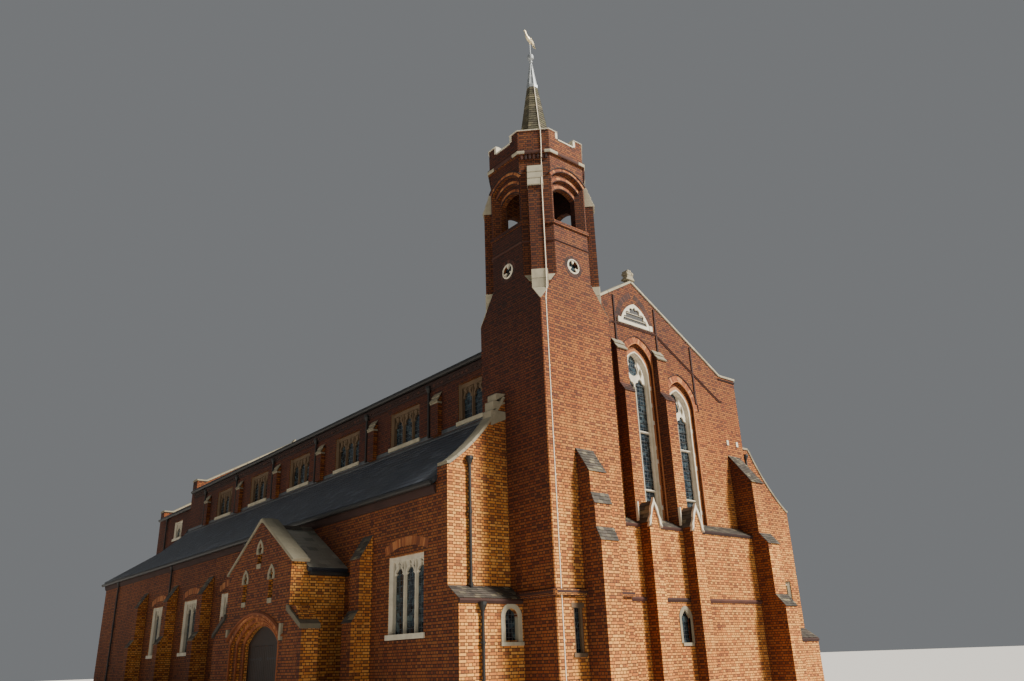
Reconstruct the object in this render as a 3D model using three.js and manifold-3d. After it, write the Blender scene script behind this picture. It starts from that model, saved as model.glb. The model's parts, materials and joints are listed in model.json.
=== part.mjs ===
// Brick church with a slender south-west tower, nave, aisles, chancel and porch.
// Millimetres, +Z up. While it is built, x = 0 is the nave's axis, y = 0 is the
// outer face of the west gable wall and z = 0 is the ground. The finished group
// is moved so that its origin is the middle of its footprint.
import * as THREE from "three";
import { ConvexGeometry } from "three/addons/geometries/ConvexGeometry.js";
import { mergeVertices } from "three/addons/utils/BufferGeometryUtils.js";
import Module from "manifold-3d";

const wasm = await Module();
wasm.setup();

// Joints between neighbours that touch
const GAP = 0.3;

// Nave
const NAVE_HALF = 5350;
const NAVE_WALL = 600;
const NAVE_END = 26600;
const NAVE_EAVES = 10310;
const NAVE_PITCH = 0.55;
const ROOF_DEEP = 160;
const EAVES_OUT = 150;
const ARCADE_TOP = 6000;
const BAY = 3985;
const FIRST_BAY = 2000;
const BAYS = 6;
const FLOOR_TOP = 100;

// West gable
const GABLE_SLOPE = 0.58;
const GABLE_APEX = 13680;
const COPING_DEEP = 120;
const COPING_OUT = 40;
const KNEELER_TOP = 11080;

// Tower
const TOWER_SIDE = 2750;
const TOWER_RIGHT = -3020;
const TOWER_FRONT = -1600;
const TOWER_WALL = 450;
const TOWER_CHAMFER = 20;
const SHAFT_TOP = 11000;
const OCTAGON_FOOT = 11950;
const BELFRY_SILL = 13600;
const BELFRY_TOP = 16050;
const PARAPET_FOOT = 16200;
const PARAPET_TOP = 16930;
const SPIRE_TOP = 19750;
const CAP_TOP = 20710;

// Aisles
const AISLE_HALF = 7770;
const AISLE_WALL = 450;
const AISLE_FRONT = 108;
const AISLE_EAVES = 6040;
const AISLE_ROOF_TOP = 8300;
const AISLE_END = 31000;

// Chancel
const CHANCEL_HALF = 4850;
const CHANCEL_WALL = 550;
const CHANCEL_EAVES = 9830;
const CHANCEL_END = 33100;

// Porch
const PORCH_AXIS = 7500;
const PORCH_HALF = 2250;
const PORCH_FRONT = -9470;
const PORCH_FRONT_WALL = 450;
const PORCH_SIDE_WALL = 400;
const PORCH_EAVES = 4200;
const PORCH_PITCH = 0.6;
const DOORWAY_HALF = 1200;

const towerCentre = new THREE.Vector2(TOWER_RIGHT - TOWER_SIDE / 2, TOWER_FRONT + TOWER_SIDE / 2);
const towerLeft = TOWER_RIGHT - TOWER_SIDE;
const towerBack = TOWER_FRONT + TOWER_SIDE;

const palette = {
  brick: new THREE.MeshStandardMaterial({ color: 0xb0623a, roughness: 0.9, metalness: 0 }),
  stone: new THREE.MeshStandardMaterial({ color: 0xcfc6b2, roughness: 0.85, metalness: 0 }),
  slate: new THREE.MeshStandardMaterial({ color: 0x3d4450, roughness: 0.7, metalness: 0 }),
  tile: new THREE.MeshStandardMaterial({ color: 0x6b5a45, roughness: 0.85, metalness: 0 }),
  lead: new THREE.MeshStandardMaterial({ color: 0xa9adb2, roughness: 0.5, metalness: 0.6 }),
  gilt: new THREE.MeshStandardMaterial({ color: 0xd8c48a, roughness: 0.35, metalness: 0.8 }),
  glass: new THREE.MeshStandardMaterial({ color: 0x2c3640, roughness: 0.15, metalness: 0 }),
  oak: new THREE.MeshStandardMaterial({ color: 0x3a2a1f, roughness: 0.7, metalness: 0 }),
  floor: new THREE.MeshStandardMaterial({ color: 0x8d8478, roughness: 0.8, metalness: 0 }),
};

const church = new THREE.Group();

function add(name, geometry, material) {
  const mesh = new THREE.Mesh(geometry, palette[material].clone());
  mesh.name = name;
  church.add(mesh);
  return mesh;
}

// Joins and cuts
function toManifold(geometry) {
  const bare = geometry.index ? geometry.toNonIndexed() : geometry.clone();
  bare.deleteAttribute("normal");
  bare.deleteAttribute("uv");
  const merged = mergeVertices(bare, 0.001);
  const vertProperties = new Float32Array(merged.attributes.position.array);
  const triVerts = new Uint32Array(merged.index.array);
  return new wasm.Manifold(new wasm.Mesh({ numProp: 3, vertProperties, triVerts }));
}

function toGeometry(manifold) {
  const mesh = manifold.getMesh();
  const geometry = new THREE.BufferGeometry();
  geometry.setAttribute("position", new THREE.BufferAttribute(new Float32Array(mesh.vertProperties), 3));
  geometry.setIndex(new THREE.BufferAttribute(new Uint32Array(mesh.triVerts), 1));
  geometry.computeVertexNormals();
  return geometry;
}

function combine(base, added = [], cut = []) {
  let result = toManifold(base);
  for (const geometry of added) {
    result = result.add(toManifold(geometry));
  }
  for (const geometry of cut) {
    result = result.subtract(toManifold(geometry));
  }
  return toGeometry(result);
}

// Outlines are lists of [u, v] points
function plain(outline, depth) {
  const shape = new THREE.Shape(outline.map(([u, v]) => new THREE.Vector2(u, v)));
  return new THREE.ExtrudeGeometry(shape, { depth, bevelEnabled: false });
}

function extrude(outline, depth, holes = []) {
  if (holes.length === 0) {
    return plain(outline, depth);
  }
  const cutters = holes.map((hole) => plain(hole, depth + 20).translate(0, 0, -10));
  return combine(plain(outline, depth), [], cutters);
}

// A plate whose outline is in x and z, between y0 and y1
function across(outline, y0, y1, holes) {
  const geometry = extrude(outline, y1 - y0, holes);
  geometry.rotateX(Math.PI / 2);
  geometry.translate(0, y1, 0);
  return geometry;
}

// A plate whose outline is in y and z, between x0 and x1
function along(outline, x0, x1, holes) {
  const geometry = extrude(outline, x1 - x0, holes);
  const turn = new THREE.Matrix4().makeBasis(
    new THREE.Vector3(0, 1, 0),
    new THREE.Vector3(0, 0, 1),
    new THREE.Vector3(1, 0, 0),
  );
  geometry.applyMatrix4(turn);
  geometry.translate(x0, 0, 0);
  return geometry;
}

// A plate whose outline is in x and y, between z0 and z1
function upward(outline, z0, z1, holes) {
  const geometry = extrude(outline, z1 - z0, holes);
  geometry.translate(0, 0, z0);
  return geometry;
}

function box(x0, x1, y0, y1, z0, z1) {
  const geometry = new THREE.BoxGeometry(x1 - x0, y1 - y0, z1 - z0);
  geometry.translate((x0 + x1) / 2, (y0 + y1) / 2, (z0 + z1) / 2);
  return geometry;
}

function rectangle(u0, u1, v0, v1) {
  return [
    [u0, v0],
    [u1, v0],
    [u1, v1],
    [u0, v1],
  ];
}

// The opening of a pointed arch: two arcs of one radius that meet over the middle
function pointedArch(middle, half, foot, spring, rise, steps = 7) {
  const radius = (half * half + rise * rise) / (2 * half);
  const sweep = Math.asin(Math.min(1, rise / radius));
  const points = [
    [middle - half, foot],
    [middle + half, foot],
  ];
  for (let i = 0; i <= steps; i += 1) {
    const angle = (sweep * i) / steps;
    points.push([middle + half - radius + radius * Math.cos(angle), spring + radius * Math.sin(angle)]);
  }
  for (let i = steps - 1; i >= 0; i -= 1) {
    const angle = (sweep * i) / steps;
    points.push([middle - half + radius - radius * Math.cos(angle), spring + radius * Math.sin(angle)]);
  }
  return points;
}

// A flatter arch: one arc of a circle over the middle
function roundedArch(middle, half, foot, spring, rise, steps = 10) {
  const radius = (half * half + rise * rise) / (2 * rise);
  const centre = spring + rise - radius;
  const sweep = Math.asin(half / radius);
  const points = [
    [middle - half, foot],
    [middle + half, foot],
  ];
  for (let i = 0; i <= steps; i += 1) {
    const angle = sweep - (2 * sweep * i) / steps;
    points.push([middle + radius * Math.sin(angle), centre + radius * Math.cos(angle)]);
  }
  return points;
}

const mirrorX = (geometry) => {
  const copy = toManifold(geometry).mirror([1, 0, 0]);
  return toGeometry(copy);
};

const windowMiddles = Array.from({ length: BAYS }, (_, i) => FIRST_BAY + i * BAY);
const pierMiddles = windowMiddles.map((y) => y + BAY / 2);

// Tower: plan of the upper stages, an octagon with four diagonal buttresses
const TOWER_HALF = TOWER_SIDE / 2;
const OCTAGON_LEG = 680;
const DIAGONAL_OUT = 260;
const DIAGONAL_WIDE = 440;
const diagonalFace = (2 * TOWER_HALF - OCTAGON_LEG) / Math.SQRT2;

function octagon(face, diagonal = (face * diagonalFace) / TOWER_HALF) {
  const points = [];
  const corner = diagonal * Math.SQRT2 - face;
  for (let quarter = 0; quarter < 4; quarter += 1) {
    const turn = (quarter * Math.PI) / 2;
    for (const [u, v] of [
      [face, corner],
      [corner, face],
    ]) {
      points.push([
        towerCentre.x + u * Math.cos(turn) - v * Math.sin(turn),
        towerCentre.y + u * Math.sin(turn) + v * Math.cos(turn),
      ]);
    }
  }
  return points;
}

function chamferedSquare(half, chamfer) {
  const inner = half - chamfer;
  return [
    [half, inner],
    [inner, half],
    [-inner, half],
    [-half, inner],
    [-half, -inner],
    [-inner, -half],
    [inner, -half],
    [half, -inner],
  ].map(([u, v]) => [towerCentre.x + u, towerCentre.y + v]);
}

function onTower(geometry, quarter) {
  geometry.rotateZ((quarter * Math.PI) / 2);
  geometry.translate(towerCentre.x, towerCentre.y, 0);
  return geometry;
}

// A diagonal buttress that rises to full height and slopes back to the wall
function diagonalButtress(foot, shoulder, top, quarter) {
  const outer = diagonalFace + DIAGONAL_OUT;
  const inner = diagonalFace - 150;
  const profile = [
    [inner, foot],
    [outer, foot],
    [outer, shoulder],
    [diagonalFace, top],
    [inner, top],
  ];
  const geometry = across(profile, -DIAGONAL_WIDE / 2, DIAGONAL_WIDE / 2);
  geometry.rotateZ(Math.PI / 4);
  return onTower(geometry, quarter);
}

const quarters = [0, 1, 2, 3];

function towerShaft() {
  const inner = TOWER_HALF - TOWER_WALL;
  const body = upward(chamferedSquare(TOWER_HALF, TOWER_CHAMFER), 0, SHAFT_TOP, [chamferedSquare(inner, 1)]);
  const course = upward(chamferedSquare(TOWER_HALF + 90, TOWER_CHAMFER + 40), 3050, 3180, [
    chamferedSquare(inner + 100, 1),
  ]);
  const loop = [
    box(towerLeft + 560, towerLeft + 880, TOWER_FRONT - 200, TOWER_FRONT + 700, 1700, 2850),
    box(towerLeft + 990, towerLeft + 1630, TOWER_FRONT - 200, TOWER_FRONT - GAP, 3000, 3300),
    box(towerLeft - 200, towerLeft - GAP, AISLE_FRONT - 451, towerBack + 200, 3000, 3300),
    box(towerLeft - 200, TOWER_RIGHT + 200, towerBack + GAP, towerBack + 200, 3000, 3300),
    box(TOWER_RIGHT + GAP, TOWER_RIGHT + 200, -550, towerBack + 200, 3000, 3300),
  ];
  return combine(body, [course], loop);
}

function towerOctagon() {
  const ring = (outline, z) => outline.map(([x, y]) => new THREE.Vector3(x, y, z));
  const broach = new ConvexGeometry([
    ...ring(chamferedSquare(TOWER_HALF, TOWER_CHAMFER), SHAFT_TOP + GAP),
    ...ring(octagon(TOWER_HALF, diagonalFace), OCTAGON_FOOT),
  ]);
  const drum = upward(octagon(TOWER_HALF, diagonalFace), OCTAGON_FOOT - 1, BELFRY_SILL);
  const buttresses = quarters.map((q) => diagonalButtress(11150, BELFRY_SILL, BELFRY_SILL, q));
  const hollow = upward(octagon(TOWER_HALF - 400), SHAFT_TOP - 10, BELFRY_SILL + 10);
  const roundels = quarters.map((q) => {
    const hole = new THREE.CylinderGeometry(190, 190, 800, 16);
    hole.translate(0, -TOWER_HALF, 0);
    hole.translate(0, 0, 12360);
    return onTower(hole, q);
  });
  return combine(broach, [drum, ...buttresses], [hollow, ...roundels]);
}

const BELFRY_ORDERS = [
  { half: 650, depth: 110, spring: 15260, rise: 320 },
  { half: 560, depth: 210, spring: 15060, rise: 270 },
  { half: 455, depth: 900, spring: 14880, rise: 210 },
];

function belfryStage() {
  const sill = upward(octagon(TOWER_HALF + 50), BELFRY_SILL + GAP, BELFRY_SILL + 110);
  const body = upward(octagon(TOWER_HALF), BELFRY_SILL + 100, BELFRY_TOP);
  const buttresses = quarters.map((q) => diagonalButtress(BELFRY_SILL + GAP, 14820, 15500, q));
  const hollow = upward(octagon(TOWER_HALF - 400), BELFRY_SILL - 10, BELFRY_TOP + 10);
  const cuts = [hollow];
  for (const q of quarters) {
    for (const { half, depth, spring, rise } of BELFRY_ORDERS) {
      const opening = roundedArch(0, half, BELFRY_SILL + 110, spring, rise, 8);
      cuts.push(onTower(across(opening, -TOWER_HALF - 100, -TOWER_HALF + depth), q));
    }
  }
  return combine(body, [sill, ...buttresses], cuts);
}

function towerParapet() {
  const hollow = octagon(TOWER_HALF - 220);
  const course = upward(octagon(TOWER_HALF + 70), BELFRY_TOP + GAP, PARAPET_FOOT, [hollow]);
  const wall = upward(octagon(TOWER_HALF + 20), PARAPET_FOOT - 1, PARAPET_TOP, [hollow]);
  const gaps = quarters.map((q) =>
    onTower(box(-340, 340, -TOWER_HALF - 200, -TOWER_HALF + 500, 16650, PARAPET_TOP + 50), q),
  );
  return combine(course, [wall], gaps);
}

function eightSided(radiusFoot, radiusTop, z0, z1) {
  const across8 = Math.cos(Math.PI / 8);
  const geometry = new THREE.CylinderGeometry(radiusTop / across8, radiusFoot / across8, z1 - z0, 8);
  geometry.rotateX(Math.PI / 2);
  geometry.rotateZ(Math.PI / 8);
  geometry.translate(towerCentre.x, towerCentre.y, (z0 + z1) / 2);
  return geometry;
}

function turned(profile, segments = 16) {
  const geometry = new THREE.LatheGeometry(
    profile.map(([r, z]) => new THREE.Vector2(r, z)),
    segments,
  );
  geometry.rotateX(Math.PI / 2);
  geometry.translate(towerCentre.x, towerCentre.y, 0);
  return geometry;
}

const VANE_FOOT = 21600;
const PIN_RADIUS = 8;

function finial() {
  return turned([
    [0, CAP_TOP + GAP],
    [40, CAP_TOP + GAP],
    [30, 20790],
    [58, 20815],
    [58, 20850],
    [26, 20880],
    [45, 20920],
    [100, 20965],
    [118, 21040],
    [100, 21115],
    [45, 21160],
    [16, 21200],
    [16, VANE_FOOT - GAP],
    [PIN_RADIUS, VANE_FOOT - GAP],
    [PIN_RADIUS, VANE_FOOT + 90],
    [0, VANE_FOOT + 90],
  ]);
}

// A flat metal cock on a short tube
function weatherVane() {
  const bird = [
    [-275, 470],
    [-230, 510],
    [-205, 555],
    [-165, 530],
    [-150, 450],
    [-110, 350],
    [-40, 300],
    [50, 300],
    [120, 270],
    [180, 190],
    [230, 60],
    [255, -60],
    [190, -40],
    [130, 40],
    [70, 100],
    [-20, 100],
    [-90, 150],
    [-150, 230],
    [-190, 320],
    [-215, 430],
  ];
  const plate = across(bird, -7, 7);
  plate.translate(towerCentre.x, towerCentre.y, VANE_FOOT);
  const tube = turned([
    [PIN_RADIUS + GAP, VANE_FOOT],
    [20, VANE_FOOT],
    [20, VANE_FOOT + 105],
    [0, VANE_FOOT + 105],
    [0, VANE_FOOT + 95],
    [PIN_RADIUS + GAP, VANE_FOOT + 95],
    [PIN_RADIUS + GAP, VANE_FOOT],
  ]);
  return combine(tube, [plate]);
}

// Stepped buttress against a wall that faces west: steps are [out, z] from the top down
function steppedButtress(x0, x1, wallFace, steps, foot = 0) {
  const profile = [[wallFace - GAP, foot]];
  const last = steps[steps.length - 1];
  profile.push([wallFace - last[0], foot]);
  for (const [out, z] of [...steps].reverse()) {
    profile.push([wallFace - out - (out === 0 ? GAP : 0), z]);
  }
  return along(profile.reverse(), x0, x1);
}

// West gable wall, between the tower and the nave's corner
const CENTRE_LANCET = { middle: 0, half: 620, foot: 5400, spring: 10350, rise: 820 };
const RIGHT_LANCET = { middle: 2000, half: 620, foot: 5400, spring: 9360, rise: 820 };
const LANCET_ORDER = { wider: 100, higher: 150, rise: 930, depth: 120 };

function lancetOpening({ middle, half, foot, spring, rise }) {
  return pointedArch(middle, half, foot, spring, rise);
}

// The shallow outer step of the brickwork round a lancet
function lancetOrder({ middle, half, foot, spring }) {
  const { wider, higher, rise, depth } = LANCET_ORDER;
  return across(pointedArch(middle, half + wider, foot, spring + higher, rise), -10, depth);
}

const LOUVRE_HALF = 520;
const LOUVRE_FOOT = 12180;
const LOUVRE_APEX = 12850;

// The triangular opening near the gable's top, drawn in by the same inset on each side
function gableTriangle(inset) {
  const high = LOUVRE_APEX - LOUVRE_FOOT;
  const side = Math.hypot(LOUVRE_HALF, high);
  const radius = (LOUVRE_HALF * high) / (LOUVRE_HALF + side);
  const centre = LOUVRE_FOOT + radius;
  const scale = (radius - inset) / radius;
  return [
    [-LOUVRE_HALF * scale, centre - radius * scale],
    [LOUVRE_HALF * scale, centre - radius * scale],
    [0, centre + (LOUVRE_APEX - centre) * scale],
  ];
}

const gableLine = (x) => GABLE_APEX - GABLE_SLOPE * Math.abs(x);
const wallLeft = TOWER_RIGHT + GAP;
const kneelerInside = (GABLE_APEX - KNEELER_TOP) / GABLE_SLOPE;

function westWall() {
  const outline = [
    [wallLeft, 0],
    [NAVE_HALF, 0],
    [NAVE_HALF, KNEELER_TOP],
    [kneelerInside, KNEELER_TOP],
    [0, GABLE_APEX],
    [wallLeft, gableLine(wallLeft)],
  ];
  const louvre = gableTriangle(0);
  const low = rectangle(250, 650, 1900, 2850);
  const wall = across(outline, 0, NAVE_WALL, [
    lancetOpening(CENTRE_LANCET),
    lancetOpening(RIGHT_LANCET),
    louvre,
    low,
  ]);
  return combine(wall, [], [lancetOrder(CENTRE_LANCET), lancetOrder(RIGHT_LANCET)]);
}

function westCoping() {
  const foot = (x) => gableLine(x) + GAP;
  const top = (x) => gableLine(x) + COPING_DEEP;
  const right = NAVE_HALF + COPING_OUT;
  const outline = [
    [wallLeft, foot(wallLeft)],
    [0, foot(0)],
    [kneelerInside, KNEELER_TOP + GAP],
    [right, KNEELER_TOP + GAP],
    [right, KNEELER_TOP + COPING_DEEP],
    [kneelerInside, KNEELER_TOP + COPING_DEEP],
    [0, top(0)],
    [wallLeft, top(wallLeft)],
  ];
  return across(outline, -COPING_OUT, NAVE_WALL + COPING_OUT);
}

function crossStump() {
  const foot = GABLE_APEX + COPING_DEEP + GAP;
  const outline = [
    [-220, foot - 220 * GABLE_SLOPE],
    [0, foot],
    [220, foot - 220 * GABLE_SLOPE],
    [220, foot],
    [150, foot + 100],
    [190, foot + 210],
    [130, foot + 340],
    [-10, foot + 390],
    [-140, foot + 330],
    [-180, foot + 200],
    [-140, foot + 90],
    [-220, foot],
  ];
  return across(outline, -30, 250);
}

// A pointed oval: two arcs that meet above and below
function pointedOval(middle, half, low, high, steps = 6) {
  const centre = (low + high) / 2;
  const upper = pointedArch(middle, half, centre, centre, (high - low) / 2, steps).slice(2);
  const lower = upper
    .slice(1, -1)
    .reverse()
    .map(([u, v]) => [u, 2 * centre - v]);
  return [...upper, ...lower];
}

const JAMB_STONE = 90;
const MULLION = 100;
const TRANSOM = 70;

// Stone frame of a lancet: two lights side by side, crossed by transoms, under a pointed oval
function lancetFrame({ middle, half, foot, spring, rise }, transoms) {
  const outer = pointedArch(middle, half - GAP, foot + GAP, spring, rise - 2 * GAP);
  const lightHalf = (half - JAMB_STONE - MULLION / 2) / 2;
  const holes = [pointedOval(middle, 270, spring + 30, spring + rise - 110)];
  for (const side of [-1, 1]) {
    const light = middle + side * (MULLION / 2 + lightHalf);
    let low = foot + JAMB_STONE;
    for (const z of transoms) {
      holes.push(rectangle(light - lightHalf, light + lightHalf, low, z - TRANSOM / 2));
      low = z + TRANSOM / 2;
    }
    holes.push(pointedArch(light, lightHalf, low, spring - 330, 300, 5));
  }
  return across(outer, 220, 370, holes);
}

function gableLouvre() {
  const outer = gableTriangle(GAP);
  const lean = LOUVRE_HALF / (LOUVRE_APEX - LOUVRE_FOOT);
  const holes = [12270, 12390, 12510].map((z) => {
    const half = (LOUVRE_APEX - z) * lean - 190;
    return [
      [-half, z],
      [half, z],
      [half - 50, z + 65],
      [-half + 50, z + 65],
    ];
  });
  return across(outer, 150, 250, holes);
}

// Side walls of the nave
function clerestoryWall(start) {
  const holes = windowMiddles.map((y) => rectangle(Math.max(y - 900, start + 60), y + 900, 8500, 9750));
  const wall = along(
    rectangle(start, NAVE_END - NAVE_WALL - GAP, ARCADE_TOP + GAP, NAVE_EAVES - GAP),
    NAVE_HALF - NAVE_WALL,
    NAVE_HALF,
    holes,
  );
  const pilasters = pierMiddles.map((y) => {
    const profile = [
      [NAVE_HALF - 50, 8320],
      [NAVE_HALF + 160, 8320],
      [NAVE_HALF + 160, 9450],
      [NAVE_HALF - 50, 9750],
    ];
    return across(profile, y - 200, y + 200);
  });
  return combine(wall, pilasters);
}

// A row of arches; the first starts beside the wall's end and has only its far half where it is cut short
function arcade(start) {
  const springing = 3600;
  const outline = [[start, FLOOR_TOP + GAP]];
  for (const y of windowMiddles) {
    const [left, right, ...curve] = pointedArch(y, 1450, FLOOR_TOP + GAP, springing, 1750, 6);
    const rising = curve.reverse();
    if (left[0] < start + 200) {
      outline.push([start + 200, FLOOR_TOP + GAP], [start + 200, springing]);
      outline.push(...rising.filter((point) => point[0] > start + 220));
    } else {
      outline.push(left, ...rising);
    }
    outline.push(right);
  }
  const end = NAVE_END - NAVE_WALL - GAP;
  outline.push([end, FLOOR_TOP + GAP], [end, ARCADE_TOP], [start, ARCADE_TOP]);
  return along(outline, NAVE_HALF - NAVE_WALL, NAVE_HALF);
}

const towerNotch = box(
  towerLeft - 0.5,
  TOWER_RIGHT + 0.5,
  TOWER_FRONT - 500,
  towerBack + 0.5,
  -100,
  SHAFT_TOP + 3000,
);

function pitchedRoof(half, eaves, y0, y1) {
  const rise = NAVE_PITCH * half;
  const out = EAVES_OUT;
  const outline = [
    [-half - out, eaves - NAVE_PITCH * out],
    [0, eaves + rise],
    [half + out, eaves - NAVE_PITCH * out],
    [half + out, eaves - NAVE_PITCH * out + ROOF_DEEP],
    [0, eaves + rise + ROOF_DEEP],
    [-half - out, eaves - NAVE_PITCH * out + ROOF_DEEP],
  ];
  return across(outline, y0, y1);
}

function eastGable(half, wallTop, apex, y0, y1, holes) {
  const outline = [
    [-half, 0],
    [half, 0],
    [half, wallTop],
    [half - 500, wallTop],
    [0, apex],
    [-half + 500, wallTop],
    [-half, wallTop],
  ];
  return across(outline, y0, y1, holes);
}

function naveEastWall() {
  const arch = pointedArch(0, 3000, 50, 4800, 3300, 8);
  const outline = [
    [-NAVE_HALF, 0],
    [-3000, 0],
    ...arch.slice(2).reverse(),
    [3000, 0],
    [NAVE_HALF, 0],
    [NAVE_HALF, 10900],
    [NAVE_HALF - 500, 10900],
    [0, GABLE_APEX],
    [-NAVE_HALF + 500, 10900],
    [-NAVE_HALF, 10900],
  ];
  return across(outline, NAVE_END - NAVE_WALL, NAVE_END);
}

function chancelWall() {
  const hole = rectangle(29170, 30450, 8450, 9400);
  return along(
    rectangle(NAVE_END + GAP, CHANCEL_END - CHANCEL_WALL - GAP, 0, CHANCEL_EAVES - GAP),
    CHANCEL_HALF - CHANCEL_WALL,
    CHANCEL_HALF,
    [hole],
  );
}

// Aisles: one side is drawn at positive x and mirrored for the other
const aisleSlope = (AISLE_ROOF_TOP - (AISLE_EAVES + ROOF_DEEP)) / (AISLE_HALF - NAVE_HALF);

function aisleWestWall(inside, isLeft) {
  const curve = new THREE.QuadraticBezierCurve(
    new THREE.Vector2(NAVE_HALF + 420, 8500),
    new THREE.Vector2(NAVE_HALF + 1250, 7150),
    new THREE.Vector2(AISLE_HALF - 60, 6380),
  );
  const bend = curve.getPoints(8).map((p) => [p.x, p.y]);
  const start = isLeft ? bend : [[inside, 8500], ...bend];
  const outline = [[inside, 0], [AISLE_HALF, 0], [AISLE_HALF, 6380], ...start.slice().reverse()];
  if (isLeft) {
    outline.splice(outline.length - 1, 1, [inside, 8500]);
  }
  const wall = across(outline, AISLE_FRONT, AISLE_FRONT + AISLE_WALL);
  const lowTop = isLeft ? 3050 : 2000;
  const lowStage = along(
    [
      [AISLE_FRONT - 450, 0],
      [AISLE_FRONT + 10, 0],
      [AISLE_FRONT + 10, lowTop + 300],
      [AISLE_FRONT - 450, lowTop],
    ],
    inside,
    AISLE_HALF,
  );
  const opening = isLeft
    ? roundedArch(NAVE_HALF + 800, 210, 2050, 2600, 205, 8)
    : rectangle(NAVE_HALF + 1150, NAVE_HALF + 1950, 2150, 3900);
  const hole = across(opening, AISLE_FRONT - 600, AISLE_FRONT + AISLE_WALL + 100);
  return combine(wall, [lowStage], [hole]);
}

function aisleWall(middles, doorway) {
  const holes = middles.map((y) => rectangle(y - 850, y + 850, 2300, 4300));
  const front = AISLE_FRONT + AISLE_WALL + GAP;
  const wall = along(
    rectangle(front, AISLE_END, 0, AISLE_EAVES - GAP),
    AISLE_HALF - AISLE_WALL,
    AISLE_HALF,
    holes,
  );
  const end = box(CHANCEL_HALF + GAP, AISLE_HALF, AISLE_END - 450, AISLE_END, 0, AISLE_EAVES - GAP);
  const gable = across(
    [
      [CHANCEL_HALF + GAP, AISLE_EAVES - 10],
      [AISLE_HALF, AISLE_EAVES - 10],
      [CHANCEL_HALF + GAP, 7850],
    ],
    AISLE_END - 450,
    AISLE_END,
  );
  const buttressAt = pierMiddles.filter((y) => !doorway || Math.abs(y - PORCH_AXIS) > PORCH_HALF + 500);
  const buttresses = buttressAt.map((y) => {
    const profile = [
      [AISLE_HALF - 50, 0],
      [AISLE_HALF + 600, 0],
      [AISLE_HALF + 600, 2700],
      [AISLE_HALF + 400, 3000],
      [AISLE_HALF + 400, 4400],
      [AISLE_HALF - 50, 5100],
    ];
    return across(profile, y - 260, y + 260);
  });
  const cuts = doorway ? [along(doorway, AISLE_HALF - 600, AISLE_HALF + 100)] : [];
  return combine(wall, [end, gable, ...buttresses], cuts);
}

function aisleRoof() {
  const inside = NAVE_HALF + GAP;
  const outside = AISLE_HALF + 130;
  const topAt = (x) => AISLE_ROOF_TOP - aisleSlope * (x - NAVE_HALF);
  const slope = across(
    [
      [inside, topAt(inside) - ROOF_DEEP],
      [outside, topAt(outside) - ROOF_DEEP],
      [outside, topAt(outside)],
      [inside, topAt(inside)],
    ],
    AISLE_FRONT + AISLE_WALL + GAP,
    NAVE_END + 40,
  );
  const chapelSlope = (8050 - topAt(AISLE_HALF)) / (AISLE_HALF - CHANCEL_HALF);
  const chapelTop = (x) => 8050 - chapelSlope * (x - CHANCEL_HALF);
  const chapelInside = CHANCEL_HALF + GAP;
  const chapel = across(
    [
      [chapelInside, chapelTop(chapelInside) - ROOF_DEEP],
      [outside, chapelTop(outside) - ROOF_DEEP],
      [outside, chapelTop(outside)],
      [chapelInside, chapelTop(chapelInside)],
    ],
    NAVE_END + GAP,
    AISLE_END + 40,
  );
  return combine(slope, [chapel]);
}

// Porch
function porchWall(side) {
  const outer = PORCH_AXIS + side * PORCH_HALF;
  const inner = outer - side * PORCH_SIDE_WALL;
  const y0 = Math.min(outer, inner);
  const y1 = Math.max(outer, inner);
  const wall = box(PORCH_FRONT, -AISLE_HALF - GAP, y0, y1, 0, PORCH_EAVES - GAP);
  const jamb = PORCH_AXIS + side * DOORWAY_HALF;
  const pier = box(
    PORCH_FRONT,
    PORCH_FRONT + PORCH_FRONT_WALL,
    Math.min(jamb, outer),
    Math.max(jamb, outer),
    0,
    2300,
  );
  const far = outer + side * 850;
  const buttress = across(
    [
      [PORCH_FRONT, 0],
      [PORCH_FRONT + 500, 0],
      [PORCH_FRONT + 500, 3200],
      [PORCH_FRONT, 3200],
    ],
    Math.min(outer - side * 20, far),
    Math.max(outer - side * 20, far),
  );
  const weathering = along(
    [
      [far + side * 10, 2600],
      [outer + side * 400, 3210],
      [far + side * 10, 3210],
    ],
    PORCH_FRONT - 10,
    PORCH_FRONT + 510,
  );
  const recess = along(
    rectangle(
      Math.min(jamb - side * 10, PORCH_AXIS + side * 1700),
      Math.max(jamb - side * 10, PORCH_AXIS + side * 1700),
      -10,
      2310,
    ),
    PORCH_FRONT - 10,
    PORCH_FRONT + 120,
  );
  const recessInner = along(
    rectangle(
      Math.min(jamb - side * 10, PORCH_AXIS + side * 1450),
      Math.max(jamb - side * 10, PORCH_AXIS + side * 1450),
      -10,
      2310,
    ),
    PORCH_FRONT - 10,
    PORCH_FRONT + 240,
  );
  return combine(wall, [pier, buttress], [weathering, recess, recessInner]);
}

const porchApex = PORCH_EAVES + PORCH_PITCH * PORCH_HALF;

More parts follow.
